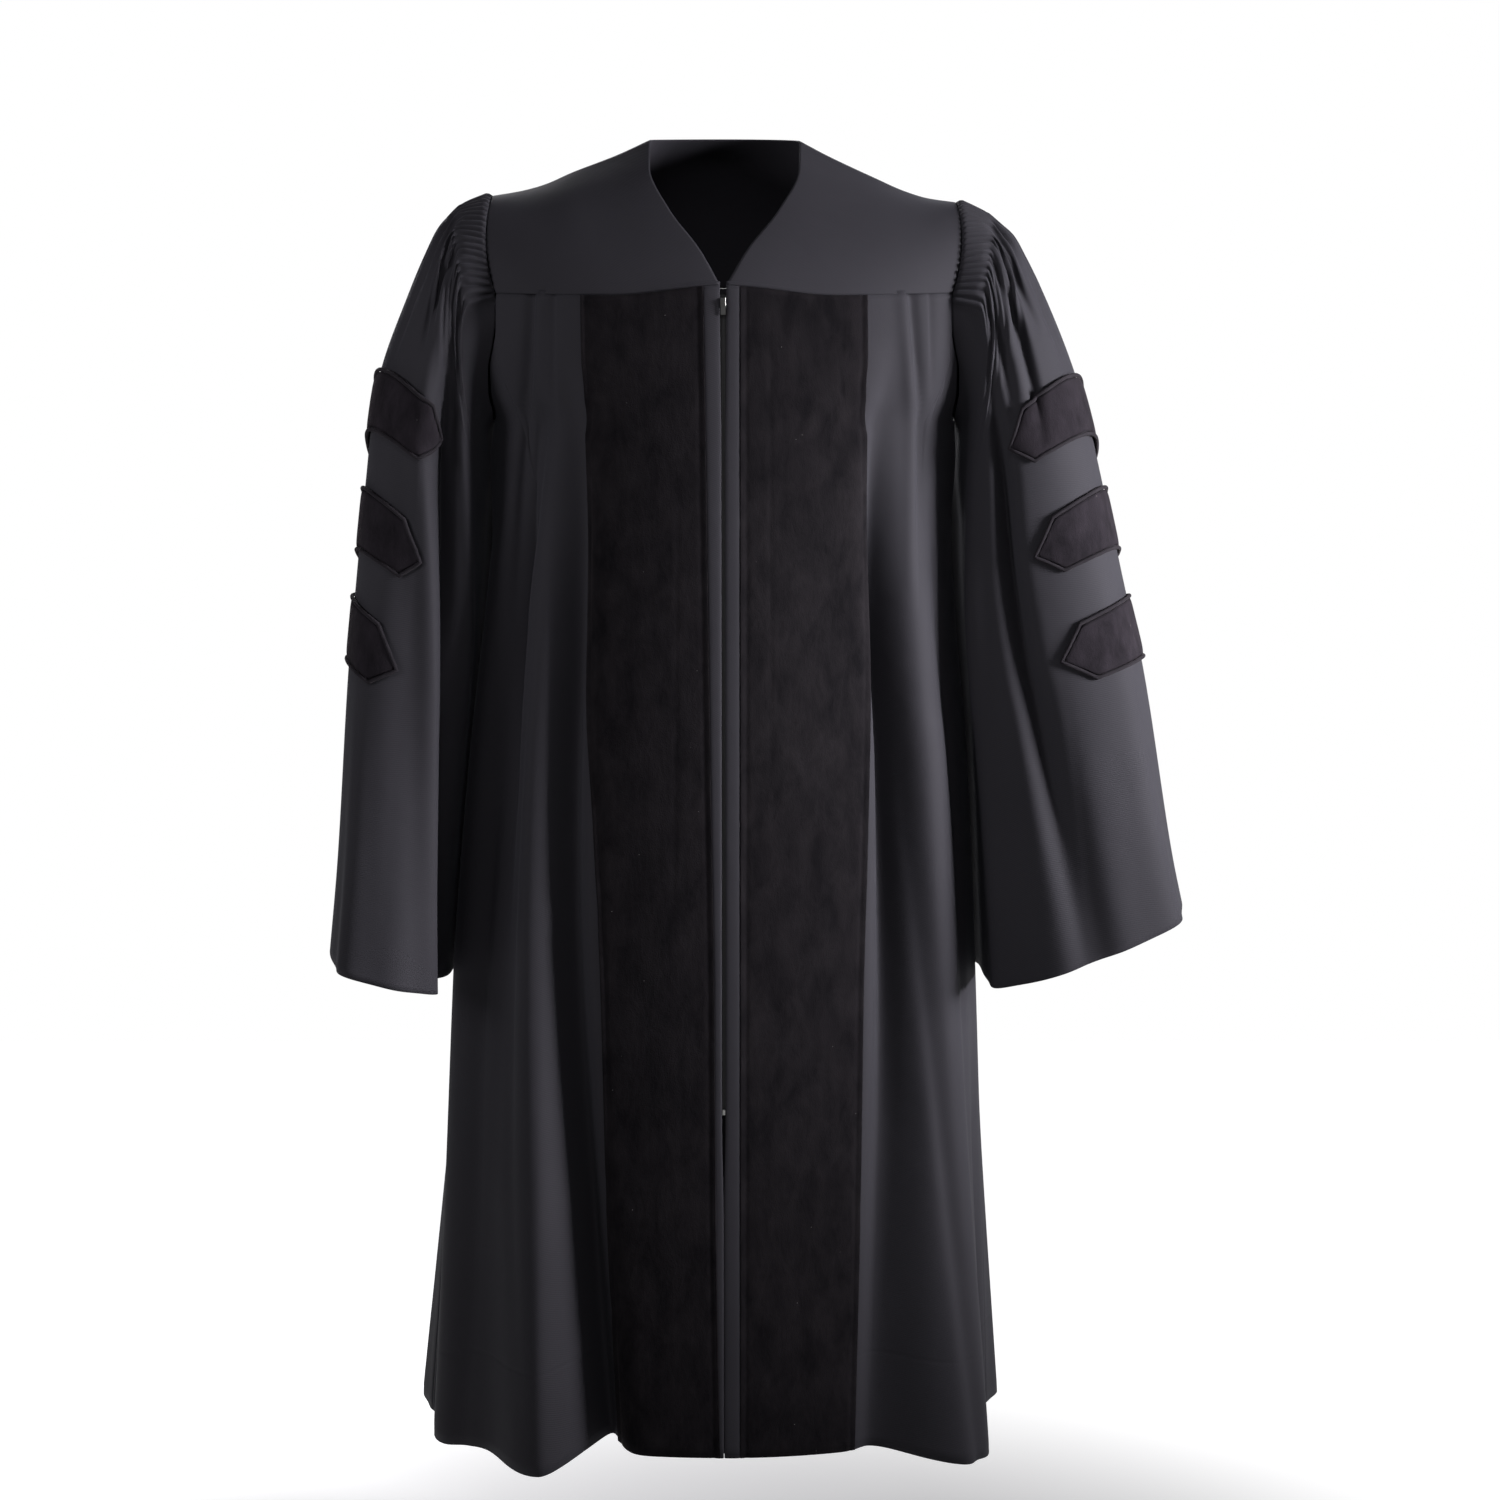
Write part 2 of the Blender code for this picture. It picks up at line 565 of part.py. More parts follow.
def hanging_grid(side, angle):
    """The outer face of a piece that hangs from the yoke, from its columns' angles in each row."""
    top = body_top_drop(side, angle[:1]) + SEAM_GAP
    drop = top + (HEM_DROP - top) * ROW_SHARES[:, None]
    return drop, body_point(side, angle, drop), body_facing(side, angle, drop)


def front_grid(side):
    """A front's outer face. Its first column is the centre edge, and the next ones are the velvet's."""
    drop = YOKE_DROP_CENTRE + (HEM_DROP - YOKE_DROP_CENTRE) * ROW_SHARES
    edge = angle_at(side, along(FRONT_EDGES, "centre", drop), drop)
    near = angle_at(side, along(FRONT_EDGES, side + "_in", drop), drop)
    far = angle_at(side, along(FRONT_EDGES, side + "_out", drop), drop)
    corner = body_seam_angle(side, "front")
    panel = near[:, None] + (far - near)[:, None] * np.linspace(0, 1, PANEL_COLUMNS)
    pleats = far[:, None] + (corner - far)[:, None] * PLEAT_SHARES
    beside = corner + (90.0 - SEAM_ANGLE - corner) * SIDE_SHARES
    angle = np.concatenate((edge[:, None], panel, pleats, np.tile(beside, (len(drop), 1))), axis=1)
    drop, face, out = hanging_grid(side, angle)
    out[:, 0] = (0.0, -1.0, 0.0)
    out[0] = level(out[0])
    return face, out


def front(side):
    face, out = front_grid(side)
    loft("front_" + side, face, face - out * CLOTH, cloth)


def laid_on_front(name, side, first, last, trim, thick, finish):
    """A strip over some of the front's columns, made from its points moved out and trimmed at one edge."""
    face, out = front_grid(side)
    face = face[:, first : last + 1].copy()
    out = out[:, first : last + 1]
    face[0, :, 2] -= SEAM_GAP
    face[:, trim, 0] += SEAM_GAP * SIDES[side] * (1 if trim == 0 else -1)
    loft(name, face + out * (LAY_GAP + thick), face + out * LAY_GAP, finish)


def velvet_panel(side):
    laid_on_front("velvet_panel_" + side, side, 1, PANEL_COLUMNS, 0, VELVET, velvet)


def placket(side):
    laid_on_front("placket_" + side, side, 0, 1, -1, CLOTH, cloth)


def back():
    halves = {}
    for side in SIDES:
        angles = np.sort(np.append(BACK_ANGLES, [90.0 + SEAM_ANGLE, body_seam_angle(side, "back")]))
        drop, outer, out = hanging_grid(side, np.tile(angles, (len(ROW_SHARES), 1)))
        out[0] = level(out[0])
        out[:, -1] = (0.0, 1.0, 0.0)
        halves[side] = outer, out
    outer = np.concatenate((halves["right"][0], halves["left"][0][:, -2::-1]), axis=1)
    out = np.concatenate((halves["right"][1], halves["left"][1][:, -2::-1]), axis=1)
    loft("back", outer, outer - out * CLOTH, cloth)


def flute_angles(side):
    """Angles of the flutes' tops and the grooves between them, evenly spaced along the armhole."""
    fine = np.linspace(-FLUTE_REACH, FLUTE_REACH, 400)
    steps = np.linalg.norm(np.diff(armhole_point(side, fine), axis=0), axis=1)
    run = np.concatenate(([0.0], np.cumsum(steps)))
    return np.interp(np.linspace(0, run[-1], 2 * FLUTES + 1), run, fine)


SLEEVE_SHARES = np.array([0.11, 0.17, 0.24, 0.32, 0.41, 0.5, 0.6, 0.7, 0.8, 0.9, 1.0])
UNDERARM_COLUMNS = 15
SPREAD_REACH = 0.118


def sleeve_columns(side, reach):
    """Angles of a sleeve's columns: packed over the flutes at the head, and even from there down."""
    head = flute_angles(side)
    under = np.linspace(FLUTE_REACH, 360 - FLUTE_REACH, UNDERARM_COLUMNS + 2)[1:-1]
    fine = np.concatenate((head, under))
    even = head[FLUTES] + (np.arange(len(fine)) - FLUTES) * 360.0 / len(fine)
    return fine + (even - fine) * min(1.0, reach / SPREAD_REACH)


def wrapped(angle):
    return (angle + 180.0) % 360.0 - 180.0


def sleeve(side):
    """A bell sleeve: flutes at the head, then half as many columns down to the cuff."""
    total = SLEEVE[side]["reach"][-1]
    flutes = 2 * FLUTES + 1
    raised = np.zeros(flutes + UNDERARM_COLUMNS)
    raised[1:flutes:2] = FLUTE_DEPTH
    bm = bmesh.new()

    def ring(step, reach, lift=0.0, wall=0.0):
        angles = wrapped(sleeve_columns(side, reach)[::step])
        spots = sleeve_point(side, angles, reach)
        out = sleeve_facing(side, angles, reach)
        if reach == 0.0:
            out = unit(out * np.array([0.0, 1.0, 1.0]))
        return [bm.verts.new(p) for p in spots + out * np.expand_dims(lift - wall, -1)]

    def join(first, second):
        n = len(first)
        for i in range(n):
            bm.faces.new((first[i], first[(i + 1) % n], second[(i + 1) % n], second[i]))

    def join_half(wide, narrow):
        n = len(narrow)
        for i in range(n):
            j = (i + 1) % n
            a, b, c = wide[2 * i], wide[2 * i + 1], wide[2 * j]
            bm.faces.new((a, b, narrow[i]))
            bm.faces.new((b, narrow[j], narrow[i]))
            bm.faces.new((b, c, narrow[j]))

    reaches = SLEEVE_SHARES * total
    outer_head = [ring(1, reach, raised) for reach in (0.0, BAND * 0.5, BAND)]
    outer = [ring(2, reach) for reach in reaches]
    inner_reaches = (0.0, BAND, *reaches)
    inner = [ring(2, reach, wall=CLOTH) for reach in inner_reaches]
    for first, second in zip(outer_head, outer_head[1:]):
        join(first, second)
    join_half(outer_head[-1], outer[0])
    for first, second in zip(outer, outer[1:]):
        join(first, second)
    join(outer[-1], inner[-1])
    for first, second in zip(inner, inner[1:]):
        join(first, second)
    join_half(outer_head[0], inner[0])
    finish_loft("sleeve_" + side, bm, cloth)


def bar_outline(grow, place):
    """Half of a bar's height at a place along it, on an outline grown evenly, and the outline's corners."""
    slope = math.hypot(BAR_POINT, BAR_HEIGHT / 2)
    shoulder = BAR_LENGTH / 2 - BAR_POINT + grow * (slope - BAR_POINT) / (BAR_HEIGHT / 2)
    tip = BAR_LENGTH / 2 + grow * slope / (BAR_HEIGHT / 2)
    half = np.interp(np.abs(place), [shoulder, tip], [BAR_HEIGHT / 2 + grow, 0.0])
    return half, shoulder, tip


def sleeve_facet(side, angle, reach):
    """A point on the flat facets of a sleeve's wall, and the direction out of it."""
    reaches = SLEEVE_SHARES * SLEEVE[side]["reach"][-1]
    row = int(np.clip(np.searchsorted(reaches, reach) - 1, 0, len(reaches) - 2))
    down = (reach - reaches[row]) / (reaches[row + 1] - reaches[row])
    pair = [sleeve_columns(side, r)[::2] for r in reaches[row : row + 2]]
    here = pair[0] + (pair[1] - pair[0]) * down
    turn = here[0] + (angle - here[0]) % 360.0
    column = int(np.searchsorted(here, turn) - 1) % len(here)
    after = (column + 1) % len(here)
    across = (turn - here[column]) / ((here[after] - here[column]) % 360.0)
    rows = []
    for angles, place in zip(pair, reaches[row : row + 2]):
        ends = sleeve_point(side, wrapped(angles[[column, after]]), place)
        rows.append(ends[0] + (ends[1] - ends[0]) * across)
    return rows[0] + (rows[1] - rows[0]) * down, sleeve_facing(side, wrapped(turn), reach)


def bar_spot(side, number, along_bar, up_bar):
    """The angle and reach on a sleeve of a place along and across one of its bars."""
    row = number - 1
    tilt = math.radians(BARS[side + "_tilt"][row])
    girth = BARS[side + "_shift"][row] + along_bar * math.cos(tilt)
    reach = BARS[side + "_reach"][row] + along_bar * math.sin(tilt) - up_bar
    fine = np.linspace(-150, 150, 151)
    ring = sleeve_point(side, fine, reach)
    run = np.concatenate(([0.0], np.cumsum(np.linalg.norm(np.diff(ring, axis=0), axis=1))))
    return float(np.interp(girth, run - np.interp(0.0, fine, run), fine)), reach


def bar_row(side, number, grow, share):
    """Angles and reaches along one level of a bar, at its corners and wherever a column of the sleeve passes."""
    shoulder, tip = bar_outline(grow, 0.0)[1:]
    places = np.linspace(-tip, tip, 61)
    levels = bar_outline(grow, places)[0] * share
    spots = [bar_spot(side, number, place, level_up) for place, level_up in zip(places, levels)]
    angles = np.array([spot[0] for spot in spots])
    columns = np.sort(wrapped(sleeve_columns(side, 1.0)[::2]))
    inside = columns[(columns > angles[0] + 1.5) & (columns < angles[-1] - 1.5)]
    chosen = np.concatenate(([-tip, -shoulder, shoulder, tip], np.interp(inside, angles, places)))
    chosen = np.sort(chosen)
    half = bar_outline(grow, chosen)[0]
    half[[0, -1]] = BAR_TIP if grow == 0.0 else 0.0
    return [bar_spot(side, number, place, level_up) for place, level_up in zip(chosen, half * share)]


def above_sleeve(side, spots, lift):
    """Points at a height above a sleeve's facets."""
    raised = []
    for angle, reach in spots:
        place, out = sleeve_facet(side, angle, reach)
        raised.append(place + out * lift)
    return np.array(raised)


def bar(side, number):
    """A velvet bar with a point at each end, and the piping round its edge."""
    rows = [bar_row(side, number, 0.0, share) for share in (-1.0, 0.0, 1.0)]
    lift = BARS["lift"][number - 1]
    outer = np.array([above_sleeve(side, row, lift + VELVET) for row in rows])
    inner = np.array([above_sleeve(side, row, lift) for row in rows])
    loft("bar_%s_%d" % (side, number), outer, inner, velvet)

    grow = PIPING + PIPING_GAP
    loop = bar_row(side, number, grow, 1.0) + bar_row(side, number, grow, -1.0)[-2:0:-1]
    path = above_sleeve(side, loop, lift + PIPING + LAY_GAP)
    curve = bpy.data.curves.new("piping", "CURVE")
    curve.dimensions = "3D"
    curve.bevel_depth = PIPING
    curve.bevel_resolution = 0
    spline = curve.splines.new("POLY")
    spline.points.add(len(path) - 1)
    for spot, place in zip(spline.points, path):
        spot.co = (*place, 1.0)
    spline.use_cyclic_u = True
    add_object("piping_%s_%d" % (side, number), curve, velvet_edge)


def zip_point(out, drop, lift):
    """Points at the centre front, a lift out from the fronts' outer face."""
    half_angle = {side: angle_at(side, np.abs(out), drop) for side in SIDES}
    spots = [body_point(side, half_angle[side], drop) for side in ("right", "left")]
    chosen = np.where((out < 0)[..., None], spots[0], spots[1])
    return chosen + point(0.0, -lift, 0.0)


def zip_tape():
    """The zip's tape behind the fronts, with its chain raised in the gap between them."""
    half_chain = ZIP_CHAIN / 2
    out = np.array([-ZIP_TAPE / 2, -half_chain - 0.0001, -half_chain, half_chain, half_chain + 0.0001, ZIP_TAPE / 2])
    back_face = -CLOTH - SEAM_GAP
    raised = np.array([0.0, 0.0, 1.0, 1.0, 0.0, 0.0]) * CLOTH
    drops = YOKE_DROP_SIDE + (ZIP_BOTTOM_DROP - YOKE_DROP_SIDE) * np.linspace(0, 1, 9)[:, None]
    places = np.broadcast_to(out, (9, len(out)))
    outer = zip_point(places, drops, back_face + raised)
    inner = zip_point(places, drops, back_face - 0.001)
    loft("zip_tape", outer, inner, tape)


SLIDER = (0.0046, 0.0024, 0.0085)
SLIDER_TOP_DROP = 0.1335
CROWN = (0.0016, 0.0026, 0.0036)
CROWN_HOLE = 0.0009
PULL = (0.0042, 0.0008, 0.0120)
PULL_WINDOW = (0.0024, 0.0024)
PULL_BAR = 0.0004
STOP = (0.0026, 0.0016, 0.0050)


def block(name, size, centre):
    """A box mesh object that isn't yet in the gown."""
    bpy.ops.mesh.primitive_cube_add(size=1.0)
    cube = bpy.context.object
    cube.name = name
    for vertex in cube.data.vertices:
        vertex.co = [vertex.co[i] * size[i] + centre[i] for i in range(3)]
    return cube


def chamfer(thing, width):
    bevel = thing.modifiers.new("edges", "BEVEL")
    bevel.width = width
    bevel.segments = 1
    bevel.limit_method = "ANGLE"


def carve(thing, cutter, operation="DIFFERENCE"):
    cut = thing.modifiers.new(cutter.name, "BOOLEAN")
    cut.object = cutter
    cut.operation = operation
    for collection in list(cutter.users_collection):
        collection.objects.unlink(cutter)
    cutters.objects.link(cutter)
    cutter.hide_render = True
    cutter.display_type = "WIRE"


def keep(thing, finish):
    for collection in list(thing.users_collection):
        collection.objects.unlink(thing)
    gown.objects.link(thing)
    thing.data.materials.append(finish)


def chain_face(drop):
    """The y of the chain's outer face at a drop, with its rows' facets allowed for."""
    return float(zip_point(np.array(0.0), np.array(drop), SEAM_GAP)[..., 1])


def zip_metal():
    """The slider with its crown, the pull tab that hangs from the crown, and the bottom stop."""
    ends = (SLIDER_TOP_DROP, SLIDER_TOP_DROP + SLIDER[2])
    seat = min(chain_face(drop) for drop in ends) - SEAM_GAP
    middle = -SLIDER_TOP_DROP - SLIDER[2] / 2
    face = seat - SLIDER[1]
    slider = block("zip_slider", SLIDER, (0.0, seat - SLIDER[1] / 2, middle))
    chamfer(slider, 0.0004)
    pivot = (0.0, face - CROWN[1] / 2, middle + 0.0012)
    crown = block("crown", (CROWN[0], CROWN[1] + 0.0006, CROWN[2]), (0.0, pivot[1] + 0.0003, pivot[2]))
    carve(slider, crown, "UNION")
    bpy.ops.mesh.primitive_cylinder_add(vertices=16, radius=CROWN_HOLE, depth=0.01)
    hole = bpy.context.object
    hole.name = "crown_hole"
    hole.rotation_euler = (0.0, math.pi / 2, 0.0)
    hole.location = pivot
    carve(slider, hole)
    keep(slider, metal)

    pull_middle = pivot[2] + PULL_BAR - PULL[2] / 2
    pull = block("zip_pull", PULL, (0.0, 0.0, pull_middle - pivot[2]))
    window_middle = -PULL_BAR - PULL_WINDOW[1] / 2
    window = block("pull_window", (PULL_WINDOW[0], 0.01, PULL_WINDOW[1]), (0.0, 0.0, window_middle))
    pull.location = pivot
    window.location = pivot
    carve(pull, window)
    keep(pull, metal)

    stop_seat = chain_face(ZIP_BOTTOM_DROP - STOP[2]) - SEAM_GAP
    stop = block("zip_stop", STOP, (0.0, stop_seat - STOP[1] / 2, -ZIP_BOTTOM_DROP + STOP[2] / 2))
    chamfer(stop, 0.0003)
    keep(stop, metal)


for old in list(bpy.data.objects):
    bpy.data.objects.remove(old, do_unlink=True)
gown = bpy.data.collections.new(GOWN_NAME)
cutters = bpy.data.collections.new("cutters")
bpy.context.scene.collection.children.link(gown)
bpy.context.scene.collection.children.link(cutters)

cloth = material("wool_cloth", (0.018, 0.018, 0.021), 0.75)
velvet = material("velvet", (0.009, 0.007, 0.009), 0.95)
velvet_edge = material("velvet_piping", (0.012, 0.009, 0.011), 0.9)
tape = material("zip_tape", (0.010, 0.010, 0.011), 0.7)
metal = material("zip_metal", (0.45, 0.45, 0.46), 0.35, 1.0)

back()
back_yoke()
for side_name in SIDES:
    front_yoke(side_name)
    front(side_name)
    sleeve(side_name)
    velvet_panel(side_name)
    placket(side_name)
    for bar_number in (1, 2, 3):
        bar(side_name, bar_number)
zip_tape()
zip_metal()
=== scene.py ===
"""A doctoral graduation gown, dressed on its CAD frame and set up for one studio picture."""

import math

import bmesh
import bpy
import numpy as np
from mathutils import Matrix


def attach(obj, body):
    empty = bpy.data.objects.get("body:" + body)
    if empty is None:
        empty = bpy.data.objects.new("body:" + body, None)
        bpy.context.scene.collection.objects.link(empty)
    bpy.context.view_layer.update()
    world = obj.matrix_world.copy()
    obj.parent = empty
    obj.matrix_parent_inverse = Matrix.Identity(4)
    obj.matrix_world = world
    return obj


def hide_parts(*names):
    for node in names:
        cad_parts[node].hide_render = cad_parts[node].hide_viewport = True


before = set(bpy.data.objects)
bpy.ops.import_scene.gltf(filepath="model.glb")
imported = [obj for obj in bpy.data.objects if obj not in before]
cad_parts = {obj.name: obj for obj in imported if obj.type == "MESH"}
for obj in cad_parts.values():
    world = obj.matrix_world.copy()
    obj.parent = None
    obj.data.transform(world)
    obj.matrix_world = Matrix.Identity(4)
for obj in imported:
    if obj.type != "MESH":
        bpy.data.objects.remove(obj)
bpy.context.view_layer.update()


# Camera, floor and light. The gown hangs at standing height before a plain pale room, with a large soft
# light high on its left side and weaker ones for the other side and the hem.

camera_data = bpy.data.cameras.new("camera")
camera_data.lens = 86.0
camera_data.sensor_width = 36.0
camera_data.clip_end = 50.0
camera = bpy.data.objects.new("camera", camera_data)
camera.location = (0.0236, -3.3, -0.05)
camera.rotation_euler = (math.radians(81.3), 0.0, 0.0)
bpy.context.scene.collection.objects.link(camera)
bpy.context.scene.camera = camera


def linear(hex_colour):
    """An sRGB hex colour as linear red, green, blue and alpha."""
    parts = [int(hex_colour[i : i + 2], 16) / 255.0 for i in (1, 3, 5)]
    return (*[c / 12.92 if c <= 0.04045 else ((c + 0.055) / 1.055) ** 2.4 for c in parts], 1.0)


def node(tree, kind, settings=None, values=None, links=None):
    """One shader node, with its settings, its unlinked values, and the sockets that feed it."""
    made = tree.nodes.new(kind)
    for key, value in (settings or {}).items():
        setattr(made, key, value)
    for key, value in (values or {}).items():
        made.inputs[key].default_value = value
    for key, socket in (links or {}).items():
        tree.links.new(socket, made.inputs[key])
    return made


def new_material(name):
    """An empty material and its node tree."""
    made = bpy.data.materials.new(name)
    made.use_nodes = True
    made.node_tree.nodes.clear()
    return made, made.node_tree


def finish_material(tree, shader):
    node(tree, "ShaderNodeOutputMaterial", links={"Surface": shader.outputs[0]})


# Painted studio floor: matt emulsion, faintly uneven. It also glows as painted light, faintly under the gown and fully
# towards its edge, so that it runs into the pale room without a line.
floor_paint, tree = new_material("floor_paint")
coords = node(tree, "ShaderNodeTexCoord")
cloudy = node(tree, "ShaderNodeTexNoise", values={"Scale": 1.2}, links={"Vector": coords.outputs["Object"]})
tone = node(tree, "ShaderNodeMix", {"data_type": "RGBA"}, links={"Factor": cloudy.outputs["Fac"]})
tone.inputs[6].default_value = linear("#ebebec")
tone.inputs[7].default_value = linear("#efefef")
shader = node(
    tree,
    "ShaderNodeBsdfPrincipled",
    values={"Roughness": 0.9},
    links={"Base Color": tone.outputs[2]},
)
# Painted light: the floor glows, weakly near the gown and fully further out.
shader.inputs["Emission Color"].default_value = (1.0, 1.0, 1.0, 1.0)
reach = node(tree, "ShaderNodeVectorMath", {"operation": "LENGTH"}, links={0: coords.outputs["Object"]})
painted_glow = node(tree, "ShaderNodeMapRange", {"interpolation_type": "SMOOTHSTEP"}, {1: 1.45, 2: 1.75, 3: 0.1, 4: 1.0}, {0: reach.outputs["Value"]})
tree.links.new(painted_glow.outputs[0], shader.inputs["Emission Strength"])
finish_material(tree, shader)

bm = bmesh.new()
bmesh.ops.create_grid(bm, x_segments=8, y_segments=8, size=2.6)
bmesh.ops.translate(bm, verts=bm.verts, vec=(0.0, 0.0, -1.45))
floor_mesh = bpy.data.meshes.new("floor")
bm.to_mesh(floor_mesh)
bm.free()
floor_mesh.materials.append(floor_paint)
floor = bpy.data.objects.new("floor", floor_mesh)
bpy.context.scene.collection.objects.link(floor)

world = bpy.data.worlds.new("room")
world.use_nodes = True
sky = world.node_tree.nodes["Background"]
sky.inputs["Color"].default_value = (1.0, 1.0, 1.0, 1.0)
rays = node(world.node_tree, "ShaderNodeLightPath")
strength = node(world.node_tree, "ShaderNodeMapRange", values={3: 0.016, 4: 1.0}, links={0: rays.outputs["Is Camera Ray"]})
world.node_tree.links.new(strength.outputs[0], sky.inputs["Strength"])
bpy.context.scene.world = world
bpy.context.scene.view_settings.view_transform = "Standard"

LIGHTS = (
    ("key_light", (2.2, -0.72, 0.0), (0.33, 0.0, -0.4), 0.8, 20.5, 42.0),
    ("fill_light", (-2.2, -1.2, 0.3), (-0.27, 0.0, -0.22), 0.9, 3.4, 46.0),
    ("front_light", (0.0, -2.2, 1.5), (-0.03, 0.0, -0.14), 0.9, 2.0, 48.0),
    ("back_light", (-0.6, 2.4, 1.2), (0.0, 0.0, -0.4), 1.0, 7.0, 60.0),
)
for name, place, target, size, power, spread in LIGHTS:
    lamp = bpy.data.lights.new(name, "AREA")
    lamp.size = size
    lamp.energy = power
    lamp.color = (0.98, 0.97, 1.0)
    lamp.spread = math.radians(spread)
    holder = bpy.data.objects.new(name, lamp)
    holder.location = place
    aim = [t - p for t, p in zip(target, place)]
    holder.rotation_euler = (
        math.atan2(math.hypot(aim[0], aim[1]), -aim[2]),
        0.0,
        math.atan2(aim[0], aim[1]) * -1.0,
    )
    bpy.context.scene.collection.objects.link(holder)


# Back. One wide panel of black wool suiting that hangs from the back yoke to the hem in soft folds, with a
# deep hem turned up inside. Its sides meet the fronts under the arms.

SIDES = {"right": -1, "left": 1}
CLOTH = 0.0011
SEAM_GAP = 0.0003
PROBE = 0.0004
HEM_DROP = 1.183
HEM_SAG = 0.2
YOKE_DROP_CENTRE = 0.122
YOKE_DROP_SIDE = 0.131
YOKE_LEVEL_OUT = 0.10
ARMHOLE_TOP = {"right": 0.0446, "left": 0.0505}
ARMHOLE_BOTTOM = 0.250
ARMHOLE_DEPTH = 0.066

FLUTES = 40
FLUTE_REACH = 84.0
FLUTE_DEPTH = 0.0022
BAND = 0.032

BAR_LENGTH = 0.236
BAR_HEIGHT = 0.052
BAR_POINT = 0.024
BAR_TIP = 0.0008
PIPING = 0.0018
PIPING_GAP = 0.0012

ZIP_BOTTOM_DROP = 0.864
ZIP_TAPE = 0.022
ZIP_CHAIN = 0.0026


def table(names, *rows):
    """Named columns made from rows of numbers; the first column is the place of each row."""
    return dict(zip(names.split(), np.array(rows, dtype=float).T))


BODY = table(
    "drop  right  left  front  back",
    (0.120, 0.2395, 0.2395, 0.1245, 0.117),
    (0.190, 0.2370, 0.2370, 0.1300, 0.121),
    (0.220, 0.2270, 0.2270, 0.1320, 0.122),
    (0.250, 0.2115, 0.2115, 0.1340, 0.123),
    (0.320, 0.2110, 0.2080, 0.1360, 0.124),
    (0.420, 0.2180, 0.2130, 0.1385, 0.128),
    (0.550, 0.2310, 0.2250, 0.1430, 0.135),
    (0.750, 0.2490, 0.2350, 0.1510, 0.148),
    (0.950, 0.2640, 0.2420, 0.1580, 0.160),
    (1.183, 0.2840, 0.2500, 0.1650, 0.175),
)

SLEEVE = {
    "left": table(
        "reach  out_x  out_z  in_x  in_z  front  back  square",
        (0.0000, 0.2105, -0.0505, 0.2115, -0.2500, 0.066, 0.066, 1.00),
        (0.0300, 0.2377, -0.0638, 0.2155, -0.2600, 0.074, 0.074, 1.00),
        (0.0580, 0.2607, -0.0791, 0.2160, -0.2700, 0.080, 0.080, 0.97),
        (0.0780, 0.2718, -0.0962, 0.2160, -0.2790, 0.083, 0.083, 0.95),
        (0.1140, 0.2886, -0.1279, 0.2160, -0.2980, 0.085, 0.085, 0.92),
        (0.2150, 0.3255, -0.2217, 0.2180, -0.3600, 0.088, 0.090, 0.85),
        (0.3125, 0.3490, -0.3163, 0.2210, -0.4250, 0.092, 0.097, 0.80),
        (0.4104, 0.3708, -0.4117, 0.2260, -0.4950, 0.100, 0.106, 0.78),
        (0.4681, 0.3846, -0.4677, 0.2300, -0.5400, 0.106, 0.112, 0.78),
        (0.6526, 0.4157, -0.6496, 0.2390, -0.7150, 0.132, 0.140, 0.80),
        (0.6965, 0.4249, -0.6925, 0.2410, -0.7640, 0.140, 0.148, 0.80),
    ),
    "right": table(
        "reach  out_x  out_z  in_x  in_z  front  back  square",
        (0.0000, 0.2100, -0.0446, 0.2115, -0.2500, 0.066, 0.066, 1.00),
        (0.0280, 0.2359, -0.0556, 0.2160, -0.2610, 0.074, 0.074, 1.00),
        (0.0540, 0.2561, -0.0710, 0.2170, -0.2720, 0.079, 0.079, 0.97),
        (0.0780, 0.2683, -0.0917, 0.2175, -0.2800, 0.082, 0.082, 0.95),
        (0.1230, 0.2871, -0.1325, 0.2180, -0.3050, 0.084, 0.084, 0.92),
        (0.2120, 0.3167, -0.2171, 0.2220, -0.3600, 0.086, 0.090, 0.85),
        (0.3105, 0.3293, -0.3144, 0.2260, -0.4300, 0.090, 0.097, 0.80),
        (0.4141, 0.3403, -0.4173, 0.2335, -0.5100, 0.098, 0.106, 0.78),
        (0.4694, 0.3458, -0.4723, 0.2385, -0.5600, 0.104, 0.112, 0.78),
        (0.6471, 0.3581, -0.6496, 0.2510, -0.7050, 0.130, 0.140, 0.80),
        (0.7315, 0.3662, -0.7336, 0.2560, -0.7650, 0.140, 0.148, 0.80),
    ),
}
ARMHOLE_BOTTOM = 0.250
ARMHOLE_DEPTH = 0.066


def table(names, *rows):
    """Named columns made from rows of numbers; the first column is the place of each row."""
    return dict(zip(names.split(), np.array(rows, dtype=float).T))

BODY = table(
    "drop  right  left  front  back",
    (0.120, 0.2395, 0.2395, 0.1245, 0.117),
    (0.190, 0.2370, 0.2370, 0.1300, 0.121),
    (0.220, 0.2270, 0.2270, 0.1320, 0.122),
    (0.250, 0.2115, 0.2115, 0.1340, 0.123),
    (0.320, 0.2110, 0.2080, 0.1360, 0.124),
    (0.420, 0.2180, 0.2130, 0.1385, 0.128),
    (0.550, 0.2310, 0.2250, 0.1430, 0.135),
    (0.750, 0.2490, 0.2350, 0.1510, 0.148),
    (0.950, 0.2640, 0.2420, 0.1580, 0.160),
    (1.183, 0.2840, 0.2500, 0.1650, 0.175),
)
